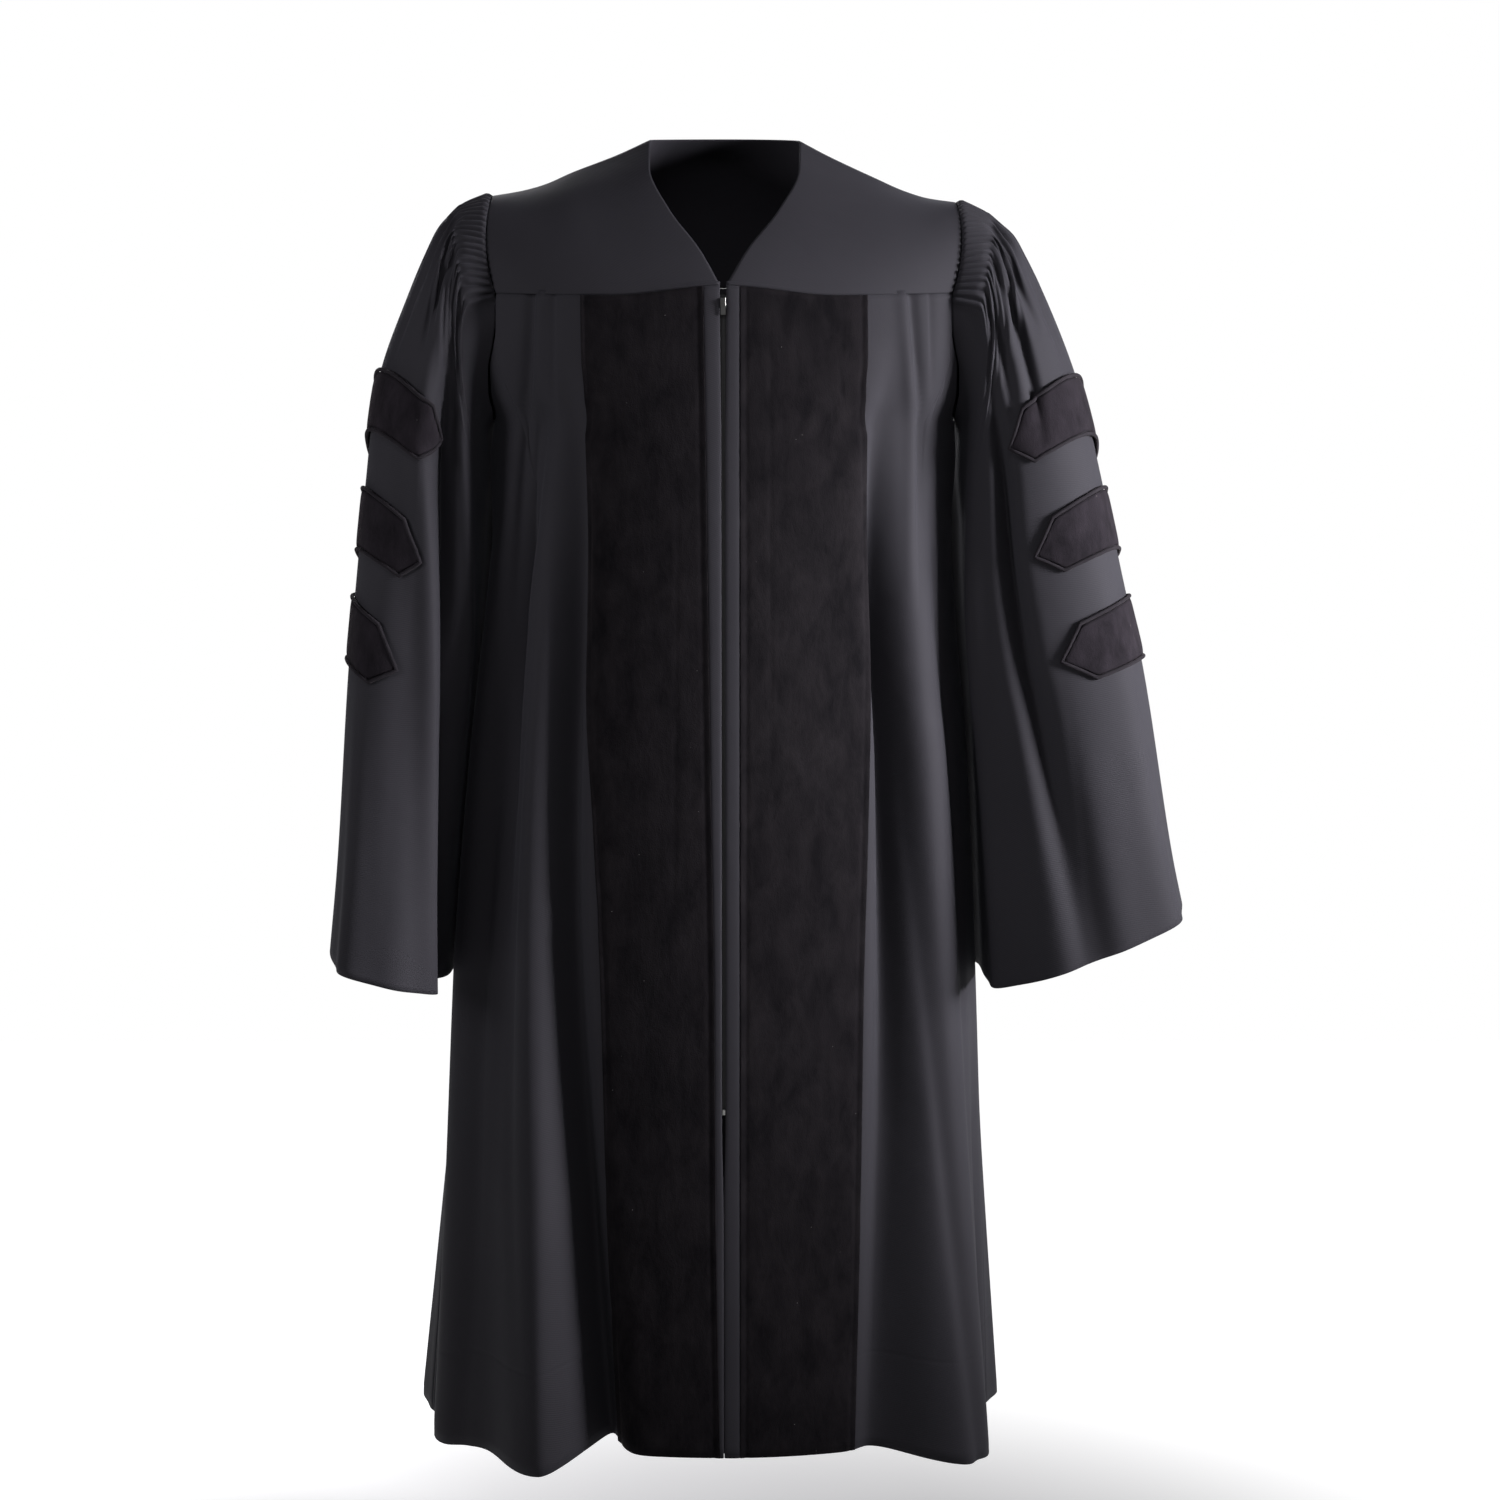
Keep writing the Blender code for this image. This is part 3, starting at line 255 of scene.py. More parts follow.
# A fold runs down its piece through three places. At each it has an angle round the piece, in degrees, and
# a depth, which is above zero for a ridge and below zero for a valley. Near and far are its widths towards
# angle zero and away from it. On the body angle zero is the centre front and 180 the centre back.
FOLD_COLUMNS = "start middle end at_start at_middle at_end near far deep_start deep_middle deep_end"
BACK_FOLDS = (
    (0.15, 0.62, 1.183, 160, 162, 163, 6, 6, 0.000, -0.012, -0.022),
    (0.15, 0.62, 1.183, 149, 150, 151, 6, 7, 0.000, 0.010, 0.024),
    (0.14, 0.19, 0.34, 170, 171, 172, 2.2, 3.0, 0.000, -0.005, 0.000),
    (0.14, 0.22, 0.40, 155, 156, 156, 2.2, 2.6, 0.000, -0.006, 0.000),
    (0.14, 0.20, 0.36, 143, 143, 144, 2.0, 2.4, 0.000, -0.005, 0.000),
    (0.60, 0.90, 1.183, 171, 171, 172, 3.0, 4.0, 0.000, 0.005, 0.009),
)
BODY_FOLDS = {
    "left": table(
        FOLD_COLUMNS,
        (0.16, 0.45, 1.183, 40, 42.5, 33, 4, 7, 0.000, -0.022, -0.009),
        (0.25, 0.50, 0.90, 41, 42, 38, 2.0, 3.0, 0.000, -0.010, 0.000),
        (0.26, 0.60, 1.183, 54, 53, 44, 7, 10, 0.000, 0.011, 0.004),
        (0.50, 0.85, 1.183, 56, 55, 53, 12, 13, 0.000, 0.018, 0.052),
        (0.45, 0.81, 1.183, 46, 49.4, 53.6, 2.2, 2.6, 0.000, -0.004, -0.005),
        (0.30, 0.55, 1.00, 64, 65, 63, 3.0, 4.0, 0.000, -0.005, -0.002),
        (0.70, 0.95, 1.183, 78, 78, 80, 7, 7, 0.000, -0.007, -0.016),
        (0.25, 0.285, 0.36, 87, 87, 87, 7, 7, 0.000, 0.0035, 0.000),
        (0.75, 0.95, 1.183, 104, 105, 105, 9, 10, 0.000, 0.010, 0.022),
        (0.16, 0.60, 1.183, 126, 122, 120, 6, 7, 0.000, -0.012, -0.020),
        (0.15, 0.60, 1.183, 138, 136, 135, 6, 7, 0.000, 0.010, 0.020),
        *BACK_FOLDS,
    ),
    "right": table(
        FOLD_COLUMNS,
        (0.17, 0.50, 1.183, 37, 38, 23, 4, 5, 0.000, -0.024, -0.032),
        (0.25, 0.65, 1.183, 50, 42, 32.5, 5, 13, 0.000, 0.016, 0.048),
        (0.129, 0.42, 0.95, 44, 60, 47, 5, 6, 0.000, -0.020, 0.000),
        (0.22, 0.36, 0.62, 53, 61.5, 54, 2.0, 3.2, 0.000, -0.008, 0.000),
        (0.30, 0.68, 1.183, 52, 50, 36, 2.0, 2.6, 0.000, -0.004, 0.000),
        (0.88, 1.02, 1.183, 30.5, 28, 23.5, 1.4, 1.8, 0.000, -0.004, -0.006),
        (0.25, 0.55, 1.183, 73, 74, 62, 9, 12, 0.000, 0.010, 0.014),
        (0.32, 0.62, 1.05, 66, 64, 57, 2.6, 3.4, 0.000, -0.006, -0.002),
        (0.75, 0.98, 1.183, 84, 83, 82, 7, 7, 0.000, -0.008, -0.016),
        (0.25, 0.285, 0.36, 87, 87, 87, 7, 7, 0.000, 0.0035, 0.000),
        (0.75, 0.95, 1.183, 106, 107, 108, 9, 10, 0.000, 0.012, 0.024),
        (0.16, 0.55, 1.183, 125, 123, 123, 7, 6, 0.000, -0.010, -0.024),
        (0.15, 0.60, 1.183, 138, 137, 137, 6, 6, 0.000, 0.011, 0.018),
        *BACK_FOLDS,
    ),
}

def smooth_curve(place, places, values):
    """A curve through the given values that never overshoots them."""
    gap = np.diff(places)
    slope = np.diff(values) / gap
    tangent = np.concatenate(([slope[0]], np.zeros(len(slope) - 1), [slope[-1]]))
    for i in range(1, len(slope)):
        if slope[i - 1] * slope[i] > 0:
            tangent[i] = 2 * slope[i - 1] * slope[i] / (slope[i - 1] + slope[i])
    place = np.clip(place, places[0], places[-1])
    i = np.clip(np.searchsorted(places, place) - 1, 0, len(gap) - 1)
    t = (place - places[i]) / gap[i]
    rise = t * t * (3 - 2 * t)
    leaving = t * (1 - t) ** 2 * gap[i] * tangent[i]
    arriving = t * t * (t - 1) * gap[i] * tangent[i + 1]
    return values[i] * (1 - rise) + values[i + 1] * rise + leaving + arriving

def along(rows, column, place):
    """The value of a table's column at a place in its first column."""
    return smooth_curve(place, next(iter(rows.values())), rows[column])

def point(x, y, z):
    """Points as an array whose last axis holds x, y and z."""
    return np.stack(np.broadcast_arrays(x, y, z), axis=-1)

def unit(vectors):
    return vectors / np.linalg.norm(vectors, axis=-1, keepdims=True)

def fold_lift(folds, angle, place):
    """How far all the folds together move the cloth out at an angle and a place down the piece."""
    lift = 0.0
    for i in range(len(folds["start"])):
        row = {name: values[i] for name, values in folds.items()}
        places = np.array([row["start"], row["middle"], row["end"]])
        centre = smooth_curve(place, places, np.array([row["at_start"], row["at_middle"], row["at_end"]]))
        deep = smooth_curve(place, places, np.array([row["deep_start"], row["deep_middle"], row["deep_end"]]))
        off = (angle - centre + 180.0) % 360.0 - 180.0
        towards = off * np.sign(centre) < 0
        lift = lift + deep * np.exp(-((off / np.where(towards, row["near"], row["far"])) ** 2))
    return lift

def body_point(side, angle, drop):
    """The outer face of the body at an angle from the centre front."""
    half = along(BODY, side, drop)
    depth = np.where(angle < 90.0, along(BODY, "front", drop), along(BODY, "back", drop))
    turn = np.radians(angle)
    outward = point(np.sin(turn) / half, -np.cos(turn) / depth, 0.0)
    lift = fold_lift(BODY_FOLDS[side], angle, drop)
    flat = point(half * np.sin(turn), -depth * np.cos(turn), -drop)
    sag = HEM_SAG * lift * (drop / HEM_DROP) ** 6
    moved = flat + unit(outward) * np.expand_dims(lift, -1) - point(0.0, 0.0, sag)
    return moved * np.array([SIDES[side], 1.0, 1.0])

def angle_at(side, out, drop):
    """The angle on the front of the body at a distance out from the centre front."""
    return np.degrees(np.arcsin(out / along(BODY, side, drop)))

def facing(surface, first, second, first_step, second_step, hand):
    """Directions straight out of a surface of two values."""
    across = surface(first + first_step, second) - surface(first - first_step, second)
    down = surface(first, second + second_step) - surface(first, second - second_step)
    return unit(np.cross(down, across)) * hand

def body_facing(side, angle, drop):
    return facing(lambda a, d: body_point(side, a, d), angle, drop, 0.1, PROBE, SIDES[side])

def yoke_seam_drop(out):
    """The yoke seam drops a little from the centre front to the armhole."""
    share = np.clip(out / YOKE_LEVEL_OUT, 0.0, 1.0)
    return YOKE_DROP_CENTRE + (YOKE_DROP_SIDE - YOKE_DROP_CENTRE) * share * share * (3 - 2 * share)

def armhole_height(side):
    """Centre and half of the armhole's height."""
    top = -ARMHOLE_TOP[side]
    return (top - ARMHOLE_BOTTOM) / 2, (top + ARMHOLE_BOTTOM) / 2

def armhole_seam_angle(side):
    """The armhole's angle where the yoke seam meets it."""
    centre, height = armhole_height(side)
    return math.degrees(math.acos((-YOKE_DROP_SIDE - centre) / height))

def armhole_seam_depth(side):
    return ARMHOLE_DEPTH * math.sin(math.radians(armhole_seam_angle(side)))

def body_seam_angle(side, face):
    """The body's angle where the yoke seam meets the armhole, on the front or the back."""
    turn = math.degrees(math.acos(armhole_seam_depth(side) / along(BODY, face, YOKE_DROP_SIDE)))
    return turn if face == "front" else 180.0 - turn

def body_top_drop(side, angle):
    """Where the front and back begin: at the yoke seam, or at the armhole for the columns beside it."""
    face = np.where(angle < 90.0, 0, 1)
    out = along(BODY, side, YOKE_DROP_SIDE) * np.sin(np.radians(angle))
    seam = np.where(face == 0, yoke_seam_drop(out), YOKE_DROP_SIDE)
    low = np.full(np.shape(angle), YOKE_DROP_SIDE)
    high = np.full(np.shape(angle), ARMHOLE_BOTTOM)
    centre, height = armhole_height(side)
    for _ in range(40):
        middle = (low + high) / 2
        depth = np.where(face == 0, along(BODY, "front", middle), along(BODY, "back", middle))
        edge = ARMHOLE_DEPTH * np.sqrt(np.clip(1 - ((-middle - centre) / height) ** 2, 0.0, 1.0))
        inside = depth * np.abs(np.cos(np.radians(angle))) < edge
        low = np.where(inside, middle, low)
        high = np.where(inside, high, middle)
    beside = (angle > body_seam_angle(side, "front")) & (angle < body_seam_angle(side, "back"))
    return np.where(beside, low, seam)

def show(name, bm, finish, body="gown"):
    """A finished piece that rides on a CAD body."""
    mesh = bpy.data.meshes.new(name)
    bm.to_mesh(mesh)
    bm.free()
    mesh.materials.append(finish)
    mesh.shade_smooth()
    piece = bpy.data.objects.new(name, mesh)
    bpy.context.scene.collection.objects.link(piece)
    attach(piece, body)
    return piece


def sew(name, spots, hand, thick, finish, ring=False):
    """A piece of cloth: a plain grid whose vertices are moved to their places, with a wall grown inwards."""
    rows, columns = spots.shape[:2]
    wide = np.linalg.norm(np.diff(spots, axis=1), axis=2).mean(axis=0)
    tall = np.linalg.norm(np.diff(spots, axis=0), axis=2).mean(axis=1)
    flat_x = np.concatenate(([0.0], np.cumsum(wide)))
    flat_y = np.concatenate((np.cumsum(tall[::-1])[::-1], [0.0]))
    bm = bmesh.new()
    bmesh.ops.create_grid(bm, x_segments=columns - 1, y_segments=rows - 1, size=1.0)
    uv = bm.loops.layers.uv.verify()
    cell = {}
    for vertex in bm.verts:
        column = round((vertex.co.x + 1) / 2 * (columns - 1))
        row = round((1 - vertex.co.y) / 2 * (rows - 1))
        cell[vertex] = row, column
    for face in bm.faces:
        for corner in face.loops:
            row, column = cell[corner.vert]
            corner[uv].uv = (flat_x[column], flat_y[row])
    for vertex, (row, column) in cell.items():
        vertex.co = spots[row, column]
    if hand < 0:
        bmesh.ops.reverse_faces(bm, faces=bm.faces)
    if ring:
        bmesh.ops.remove_doubles(bm, verts=bm.verts, dist=0.00002)
    piece = show(name, bm, finish)
    wall = piece.modifiers.new("cloth", "SOLIDIFY")
    wall.thickness = thick
    wall.offset = -1.0
    area = float((wide.sum()) * (tall.sum()))
    return piece, (float(wide.sum()), float(tall.sum())), area


def woven(name, dark, light, hem=None):
    """Black wool suiting: a dry, close twill that scatters light, with a soft bloom where it turns away."""
    made, tree = new_material(name)
    coords = node(tree, "ShaderNodeTexCoord")
    drift = node(tree, "ShaderNodeTexNoise", values={"Scale": 9.0, "Detail": 3.0}, links={"Vector": coords.outputs["Object"]})
    tone = node(tree, "ShaderNodeMix", {"data_type": "RGBA"}, links={"Factor": drift.outputs["Fac"]})
    tone.inputs[6].default_value = linear(dark)
    tone.inputs[7].default_value = linear(light)
    # The real twill has 0.4 mm threads; its rib is drawn at 1.6 mm so that it shows at all.
    rib_map = node(tree, "ShaderNodeMapping", links={"Vector": coords.outputs["UV"]})
    rib_map.inputs["Rotation"].default_value = (0.0, 0.0, math.radians(58))
    rib = node(tree, "ShaderNodeTexWave", values={"Scale": 200.0, "Distortion": 1.5, "Detail": 1.0}, links={"Vector": rib_map.outputs["Vector"]})
    fuzz = node(tree, "ShaderNodeTexNoise", values={"Scale": 700.0, "Detail": 2.0}, links={"Vector": coords.outputs["Object"]})
    ripple = node(tree, "ShaderNodeTexNoise", values={"Scale": 16.0, "Detail": 2.5}, links={"Vector": coords.outputs["Object"]})
    weave = node(tree, "ShaderNodeMath", {"operation": "ADD"}, links={0: rib.outputs["Fac"], 1: fuzz.outputs["Fac"]})
    fine = node(tree, "ShaderNodeBump", values={"Strength": 0.25, "Distance": 0.0002}, links={"Height": weave.outputs[0]})
    soft = node(tree, "ShaderNodeBump", values={"Strength": 0.35, "Distance": 0.004}, links={"Height": ripple.outputs["Fac"], "Normal": fine.outputs["Normal"]})
    normal = soft
    if hem:
        place = node(tree, "ShaderNodeSeparateXYZ", links={"Vector": coords.outputs["UV"]})
        off = node(tree, "ShaderNodeMath", {"operation": "SUBTRACT"}, {1: hem}, {0: place.outputs["Y"]})
        near = node(tree, "ShaderNodeMath", {"operation": "ABSOLUTE"}, links={0: off.outputs[0]})
        groove = node(tree, "ShaderNodeMapRange", {"interpolation_type": "SMOOTHSTEP"}, {1: 0.0, 2: 0.0035}, {0: near.outputs[0]})
        normal = node(tree, "ShaderNodeBump", values={"Strength": 0.25, "Distance": 0.001}, links={"Height": groove.outputs[0], "Normal": soft.outputs["Normal"]})
    shader = node(
        tree,
        "ShaderNodeBsdfPrincipled",
        values={"Roughness": 0.82, "Specular IOR Level": 0.12, "Sheen Weight": 0.03, "Sheen Roughness": 0.45},
        links={"Base Color": tone.outputs[2], "Normal": normal.outputs["Normal"]},
    )
    shader.inputs["Sheen Tint"].default_value = linear("#c9ccdc")
    finish_material(tree, shader)
    return made


wool = woven("wool_suiting", "#1b1a1e", "#201f23")
wool_hemmed = woven("wool_suiting_hemmed", "#1b1a1e", "#201f23", hem=0.088)

BACK_ROWS = 120
BACK_COLUMNS = 90


def hanging_rows(count):
    """Shares of the way down a hanging piece, closer together below the yoke."""
    even = np.linspace(0.0, 1.0, count)
    return even - 0.35 * even * (1.0 - even)


SIDE_SAG = {"right": 0.015, "left": 0.006}


def sagged(side, angle, drop):
    """Drops made longer towards the hem near the side seams, where the cloth hangs on the bias."""
    near_hem = np.clip((drop - 0.65) / (HEM_DROP - 0.65), 0.0, 1.0) ** 2
    return drop + SIDE_SAG[side] * near_hem * np.exp(-(((angle - 78.0) / 34.0) ** 2))


halves = []
for side in SIDES:
    angle = np.linspace(89.5, 180.0, BACK_COLUMNS)[None, :]
    top = body_top_drop(side, angle) + SEAM_GAP
    drop = top + (HEM_DROP - top) * hanging_rows(BACK_ROWS)[:, None]
    angle = np.broadcast_to(angle, drop.shape)
    half = body_point(side, angle, sagged(side, angle, drop))
    # The side edge is the seam allowance, which lies behind the front.
    half[:, 0] -= body_facing(side, angle[:, :1], drop[:, :1])[:, 0] * 0.0016
    halves.append(half)
back_spots = np.concatenate((halves[0], halves[1][:, -2::-1]), axis=1)
back_cloth, back_flat, back_area = sew("back_cloth", back_spots, -1, CLOTH, wool_hemmed)
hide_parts("back")


# Fronts. Two panels of the same wool, pleated into the yoke seam, that meet at the zip. The pleats fall
# open into deep folds beside the velvet.

FRONT_EDGES = table(
    "drop  centre  right_in  right_out  left_in  left_out",
    (0.122, 0.00280, 0.0177, 0.1260, 0.0150, 0.1270),
    (0.155, 0.00280, 0.0172, 0.1256, 0.0150, 0.1273),
    (0.260, 0.00170, 0.0155, 0.1242, 0.0150, 0.1282),
    (0.450, 0.00165, 0.0130, 0.1240, 0.0150, 0.1310),
    (0.600, 0.00165, 0.0110, 0.1165, 0.0150, 0.1290),
    (0.750, 0.00165, 0.0088, 0.1105, 0.0150, 0.1255),
    (0.872, 0.00160, 0.0084, 0.1078, 0.0150, 0.1242),
    (0.960, 0.00025, 0.0080, 0.1062, 0.0150, 0.1232),
    (1.183, 0.00025, 0.0050, 0.1010, 0.0150, 0.1190),
)
PANEL_COLUMNS = 46
PLEAT_COLUMNS = 82
SIDE_COLUMNS = 56
FRONT_ROWS = 140
# Pleats stitched into the yoke seam, by their distances out from the centre front at three drops.
PLEAT_ROWS = "start middle end out_start out_middle out_end near far deep_start deep_middle deep_end"
PLEATS = {
    "left": table(
        PLEAT_ROWS,
        (0.10, 0.231, 0.42, 0.1640, 0.1757, 0.1770, 0.0024, 0.0060, -0.0034, -0.0036, 0.000),
        (0.10, 0.231, 0.42, 0.1560, 0.1680, 0.1690, 0.0060, 0.0040, 0.0012, 0.0022, 0.000),
        (0.10, 0.170, 0.26, 0.1830, 0.1850, 0.1880, 0.0016, 0.0040, -0.0018, -0.0010, 0.000),
    ),
    "right": table(
        PLEAT_ROWS,
        (0.10, 0.209, 0.44, 0.1685, 0.1740, 0.1910, 0.0024, 0.0060, -0.0034, -0.0048, 0.000),
        (0.10, 0.209, 0.44, 0.1610, 0.1660, 0.1800, 0.0060, 0.0040, 0.0012, 0.0026, 0.000),
        (0.10, 0.170, 0.30, 0.1500, 0.1505, 0.1520, 0.0016, 0.0040, -0.0018, -0.0014, 0.000),
    ),
}


def pleat_lift(pleats, out, drop):
    """How far the pleats move a front out, at distances out from the centre front and drops."""
    lift = 0.0
    for i in range(len(pleats["start"])):
        row = {name: values[i] for name, values in pleats.items()}
        places = np.array([row["start"], row["middle"], row["end"]])
        line = np.interp(drop, places, [row["out_start"], row["out_middle"], row["out_end"]])
        deep = smooth_curve(drop, places, np.array([row["deep_start"], row["deep_middle"], row["deep_end"]]))
        off = out - line
        lift = lift + deep * np.exp(-((off / np.where(off < 0, row["near"], row["far"])) ** 2))
    return lift


def front_angles(side, drop):
    """Angles of a front's columns at its rows: the centre edge, the velvet's width, the pleats, the side."""
    edge = angle_at(side, along(FRONT_EDGES, "centre", drop), drop)[:, None]
    near = angle_at(side, along(FRONT_EDGES, side + "_in", drop), drop)[:, None]
    far = angle_at(side, along(FRONT_EDGES, side + "_out", drop), drop)[:, None]
    corner = body_seam_angle(side, "front")
    placket_part = edge + (near - edge) * np.linspace(0, 1, 7)[:-1]
    panel = near + (far - near) * np.linspace(0, 1, PANEL_COLUMNS)[:-1]
    pleats = far + (corner - far) * np.linspace(0, 1, PLEAT_COLUMNS)[:-1]
    beside = np.broadcast_to(np.linspace(corner, 89.95, SIDE_COLUMNS), (len(drop), SIDE_COLUMNS))
    return np.concatenate((placket_part, panel, pleats, beside), axis=1)


front_pieces = {}
for side, hand in SIDES.items():
    rows = hanging_rows(FRONT_ROWS)
    drop = YOKE_DROP_CENTRE + (HEM_DROP - YOKE_DROP_CENTRE) * rows
    angle = front_angles(side, drop)
    top = body_top_drop(side, angle[:1]) + SEAM_GAP
    drop = top + (HEM_DROP - top) * rows[:, None]
    spots = body_point(side, angle, sagged(side, angle, drop))
    rise = pleat_lift(PLEATS[side], np.abs(spots[..., 0]), drop)
    spots = spots + body_facing(side, angle, drop) * rise[..., None]
    # The top edge is turned in behind the yoke.
    spots[0] += body_facing(side, angle[:1], drop[:1])[0] * -0.0015 + point(0.0, 0.0, 0.0035)
    piece, flat, area = sew("front_cloth_" + side, spots, hand, CLOTH, wool_hemmed)
    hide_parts("front_" + side)
    front_pieces[side] = piece

# Below the zip the right front has an underlap, a doubled edge that lies behind the left one.
rows = np.linspace(1.067, HEM_DROP - 0.003, 30)[:, None]
across = np.linspace(-0.006, 0.014, 9)[None, :]
spots = body_point("left", np.zeros((30, 9)), rows + 0.0 * across)
spots[..., 0] = across
spots[..., 1] += 0.0022
underlap, flat, area = sew("front_underlap", spots, 1, 0.0016, wool)


# Yoke. A shaped collar-less yoke of two fronts and one back in the same wool, interfaced so that it lies
# smooth over the shoulders. It carries everything else, and its front edges make the V neck.

SHOULDER = {
    "left": table(
        "out  up",
        (0.0690, 0.0045),
        (0.0927, -0.0080),
        (0.1373, -0.0287),
        (0.1640, -0.0404),
        (0.1850, -0.0468),
        (0.2105, -0.0505),
    ),
    "right": table(
        "out  up",
        (0.0675, 0.0055),
        (0.0972, -0.0080),
        (0.1373, -0.0233),
        (0.1647, -0.0350),
        (0.1850, -0.0404),
        (0.2100, -0.0446),
    ),
}
SHOULDER_BACK = 0.005
NECK_EDGE = table(
    "way  out  forward  down",
    (0.00, 0.0680, -0.005, -0.005),
    (0.18, 0.0670, 0.030, 0.020),
    (0.45, 0.0490, 0.072, 0.056),
    (0.75, 0.0205, 0.106, 0.092),
    (1.00, 0.0028, 0.1248, 0.122),
)
NAPE = table(
    "way  back  down",
    (0.00, 0.062, -0.007),
    (0.30, 0.088, 0.014),
    (0.65, 0.108, 0.062),
    (1.00, 0.1175, 0.131),
)
NECK_SHARE = 0.36


def armhole_point(side, angle):
    """The armhole's edge, from its top at angle zero, down the front to 90 and the underarm at 180."""
    centre, height = armhole_height(side)
    turn = np.radians(angle)
    y = -ARMHOLE_DEPTH * np.sin(turn)
    z = centre + height * np.cos(turn)
    depth = np.where(y < 0, along(BODY, "front", -z), along(BODY, "back", -z))
    below = along(BODY, side, -z) * np.sqrt(1 - (y / depth) ** 2)
    seam_depth = np.where(y < 0, along(BODY, "front", YOKE_DROP_SIDE), along(BODY, "back", YOKE_DROP_SIDE))
    seam_y = armhole_seam_depth(side)
    seam_out = along(BODY, side, YOKE_DROP_SIDE) * np.sqrt(1 - (seam_y / seam_depth) ** 2)
    top_out = SHOULDER[side]["out"][-1]
    share = np.clip((z + YOKE_DROP_SIDE) / (YOKE_DROP_SIDE - ARMHOLE_TOP[side]), 0.0, 1.0)
    above = seam_out + (top_out - seam_out) * share + 0.022 * share * (1 - share)
    x = np.where(z < -YOKE_DROP_SIDE, below, above)
    return point(x * SIDES[side], y, z)

def blend(top, bottom, left, right, across, down):
    """A smooth patch between four edges, with across and down from 0 to 1."""
    across = np.expand_dims(across, -1)
    down = np.expand_dims(down, -1)
    corners = (
        (1 - across) * (1 - down) * top[:, :1]
        + across * (1 - down) * top[:, -1:]
        + (1 - across) * down * bottom[:, :1]
        + across * down * bottom[:, -1:]
    )
    return (1 - down) * top + down * bottom + (1 - across) * left + across * right - corners

def shoulder_point(side, share):
    """The shoulder seam from the neck, at share 0, to the armhole."""
    rows = SHOULDER[side]
    out = rows["out"][0] + (rows["out"][-1] - rows["out"][0]) * share
    return point(out * SIDES[side], SHOULDER_BACK * (1 - share), along(rows, "up", out))

def front_yoke_point(side, across, down):
    """The front yoke, from the neck edge to the armhole and from the shoulder to the yoke seam."""
    hand = SIDES[side]
    across_row = np.unique(across)[None, :]
    down_column = np.unique(down)[:, None]
    top = shoulder_point(side, across_row)
    first = float(angle_at(side, FRONT_EDGES["centre"][0], YOKE_DROP_CENTRE))
    angle = first + (body_seam_angle(side, "front") - first) * across_row
    bottom = body_point(side, angle, body_top_drop(side, angle))
    left = point(
        along(NECK_EDGE, "out", down_column) * hand,
        -along(NECK_EDGE, "forward", down_column),
        -along(NECK_EDGE, "down", down_column),
    )
    left = left + (1 - down_column)[..., None] * (top[:, :1] - left[:1]) + down_column[..., None] * (
        bottom[:, :1] - left[-1:]
    )
    right = armhole_point(side, armhole_seam_angle(side) * down_column)
    return blend(top, bottom, left, right, across_row, down_column)

def back_yoke_point(side, across, down):
    """Half of the back yoke, from the centre back to the armhole."""
    hand = SIDES[side]
    across_row = np.unique(across)[None, :]
    down_column = np.unique(down)[:, None]
    neck = SHOULDER[side]["out"][0]
    turn = np.clip(across_row / NECK_SHARE, 0.0, 1.0) * math.pi / 2
    corner_up = SHOULDER[side]["up"][0]
    nape_up = -NAPE["down"][0]
    collar = point(
        neck * np.sin(turn) * hand,
        SHOULDER_BACK + (NAPE["back"][0] - SHOULDER_BACK) * np.cos(turn),
        corner_up + (nape_up - corner_up) * np.cos(turn),
    )
    seam = shoulder_point(side, np.clip((across_row - NECK_SHARE) / (1 - NECK_SHARE), 0.0, 1.0))
    top = np.where((across_row < NECK_SHARE)[..., None], collar, seam)
    angle = 180.0 + (body_seam_angle(side, "back") - 180.0) * across_row
    bottom = body_point(side, angle, body_top_drop(side, angle))
    left = point(0.0, along(NAPE, "back", down_column), -along(NAPE, "down", down_column))
    left = left + down_column[..., None] * (bottom[:, :1] - left[-1:])
    right = armhole_point(side, -armhole_seam_angle(side) * down_column)
    return blend(top, bottom, left, right, across_row, down_column)

for side, hand in SIDES.items():
    across = np.linspace(0, 1, 90)
    down = np.linspace(0, 1, 90)
    spots = front_yoke_point(side, across, down)
    spots[0, :, 1] -= SEAM_GAP / 2
    spots[:, -1, 0] -= SEAM_GAP * hand / 2
    piece, flat, area = sew("yoke_front_cloth_" + side, spots, hand, CLOTH, wool)
    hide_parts("yoke_front_" + side)

halves = []
for side, hand in SIDES.items():
    across = np.concatenate((np.linspace(0, NECK_SHARE, 36), np.linspace(NECK_SHARE, 1, 50)[1:]))
    spots = back_yoke_point(side, across, np.linspace(0, 1, 80))
    spots[0, :, 1] += SEAM_GAP / 2
    spots[:, -1, 0] -= SEAM_GAP * hand / 2
    halves.append(spots)
yoke_spots = np.concatenate((halves[0][:, :0:-1], halves[1]), axis=1)
yoke_back_cloth, flat, area = sew("yoke_back_cloth", yoke_spots, -1, CLOTH, wool)
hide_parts("yoke_back")


# Sleeves. Bell sleeves whose heads are drawn up into forty small flutes by hidden gathering threads, sewn
# to the armhole, and let out from there into long soft folds down to an open cuff.

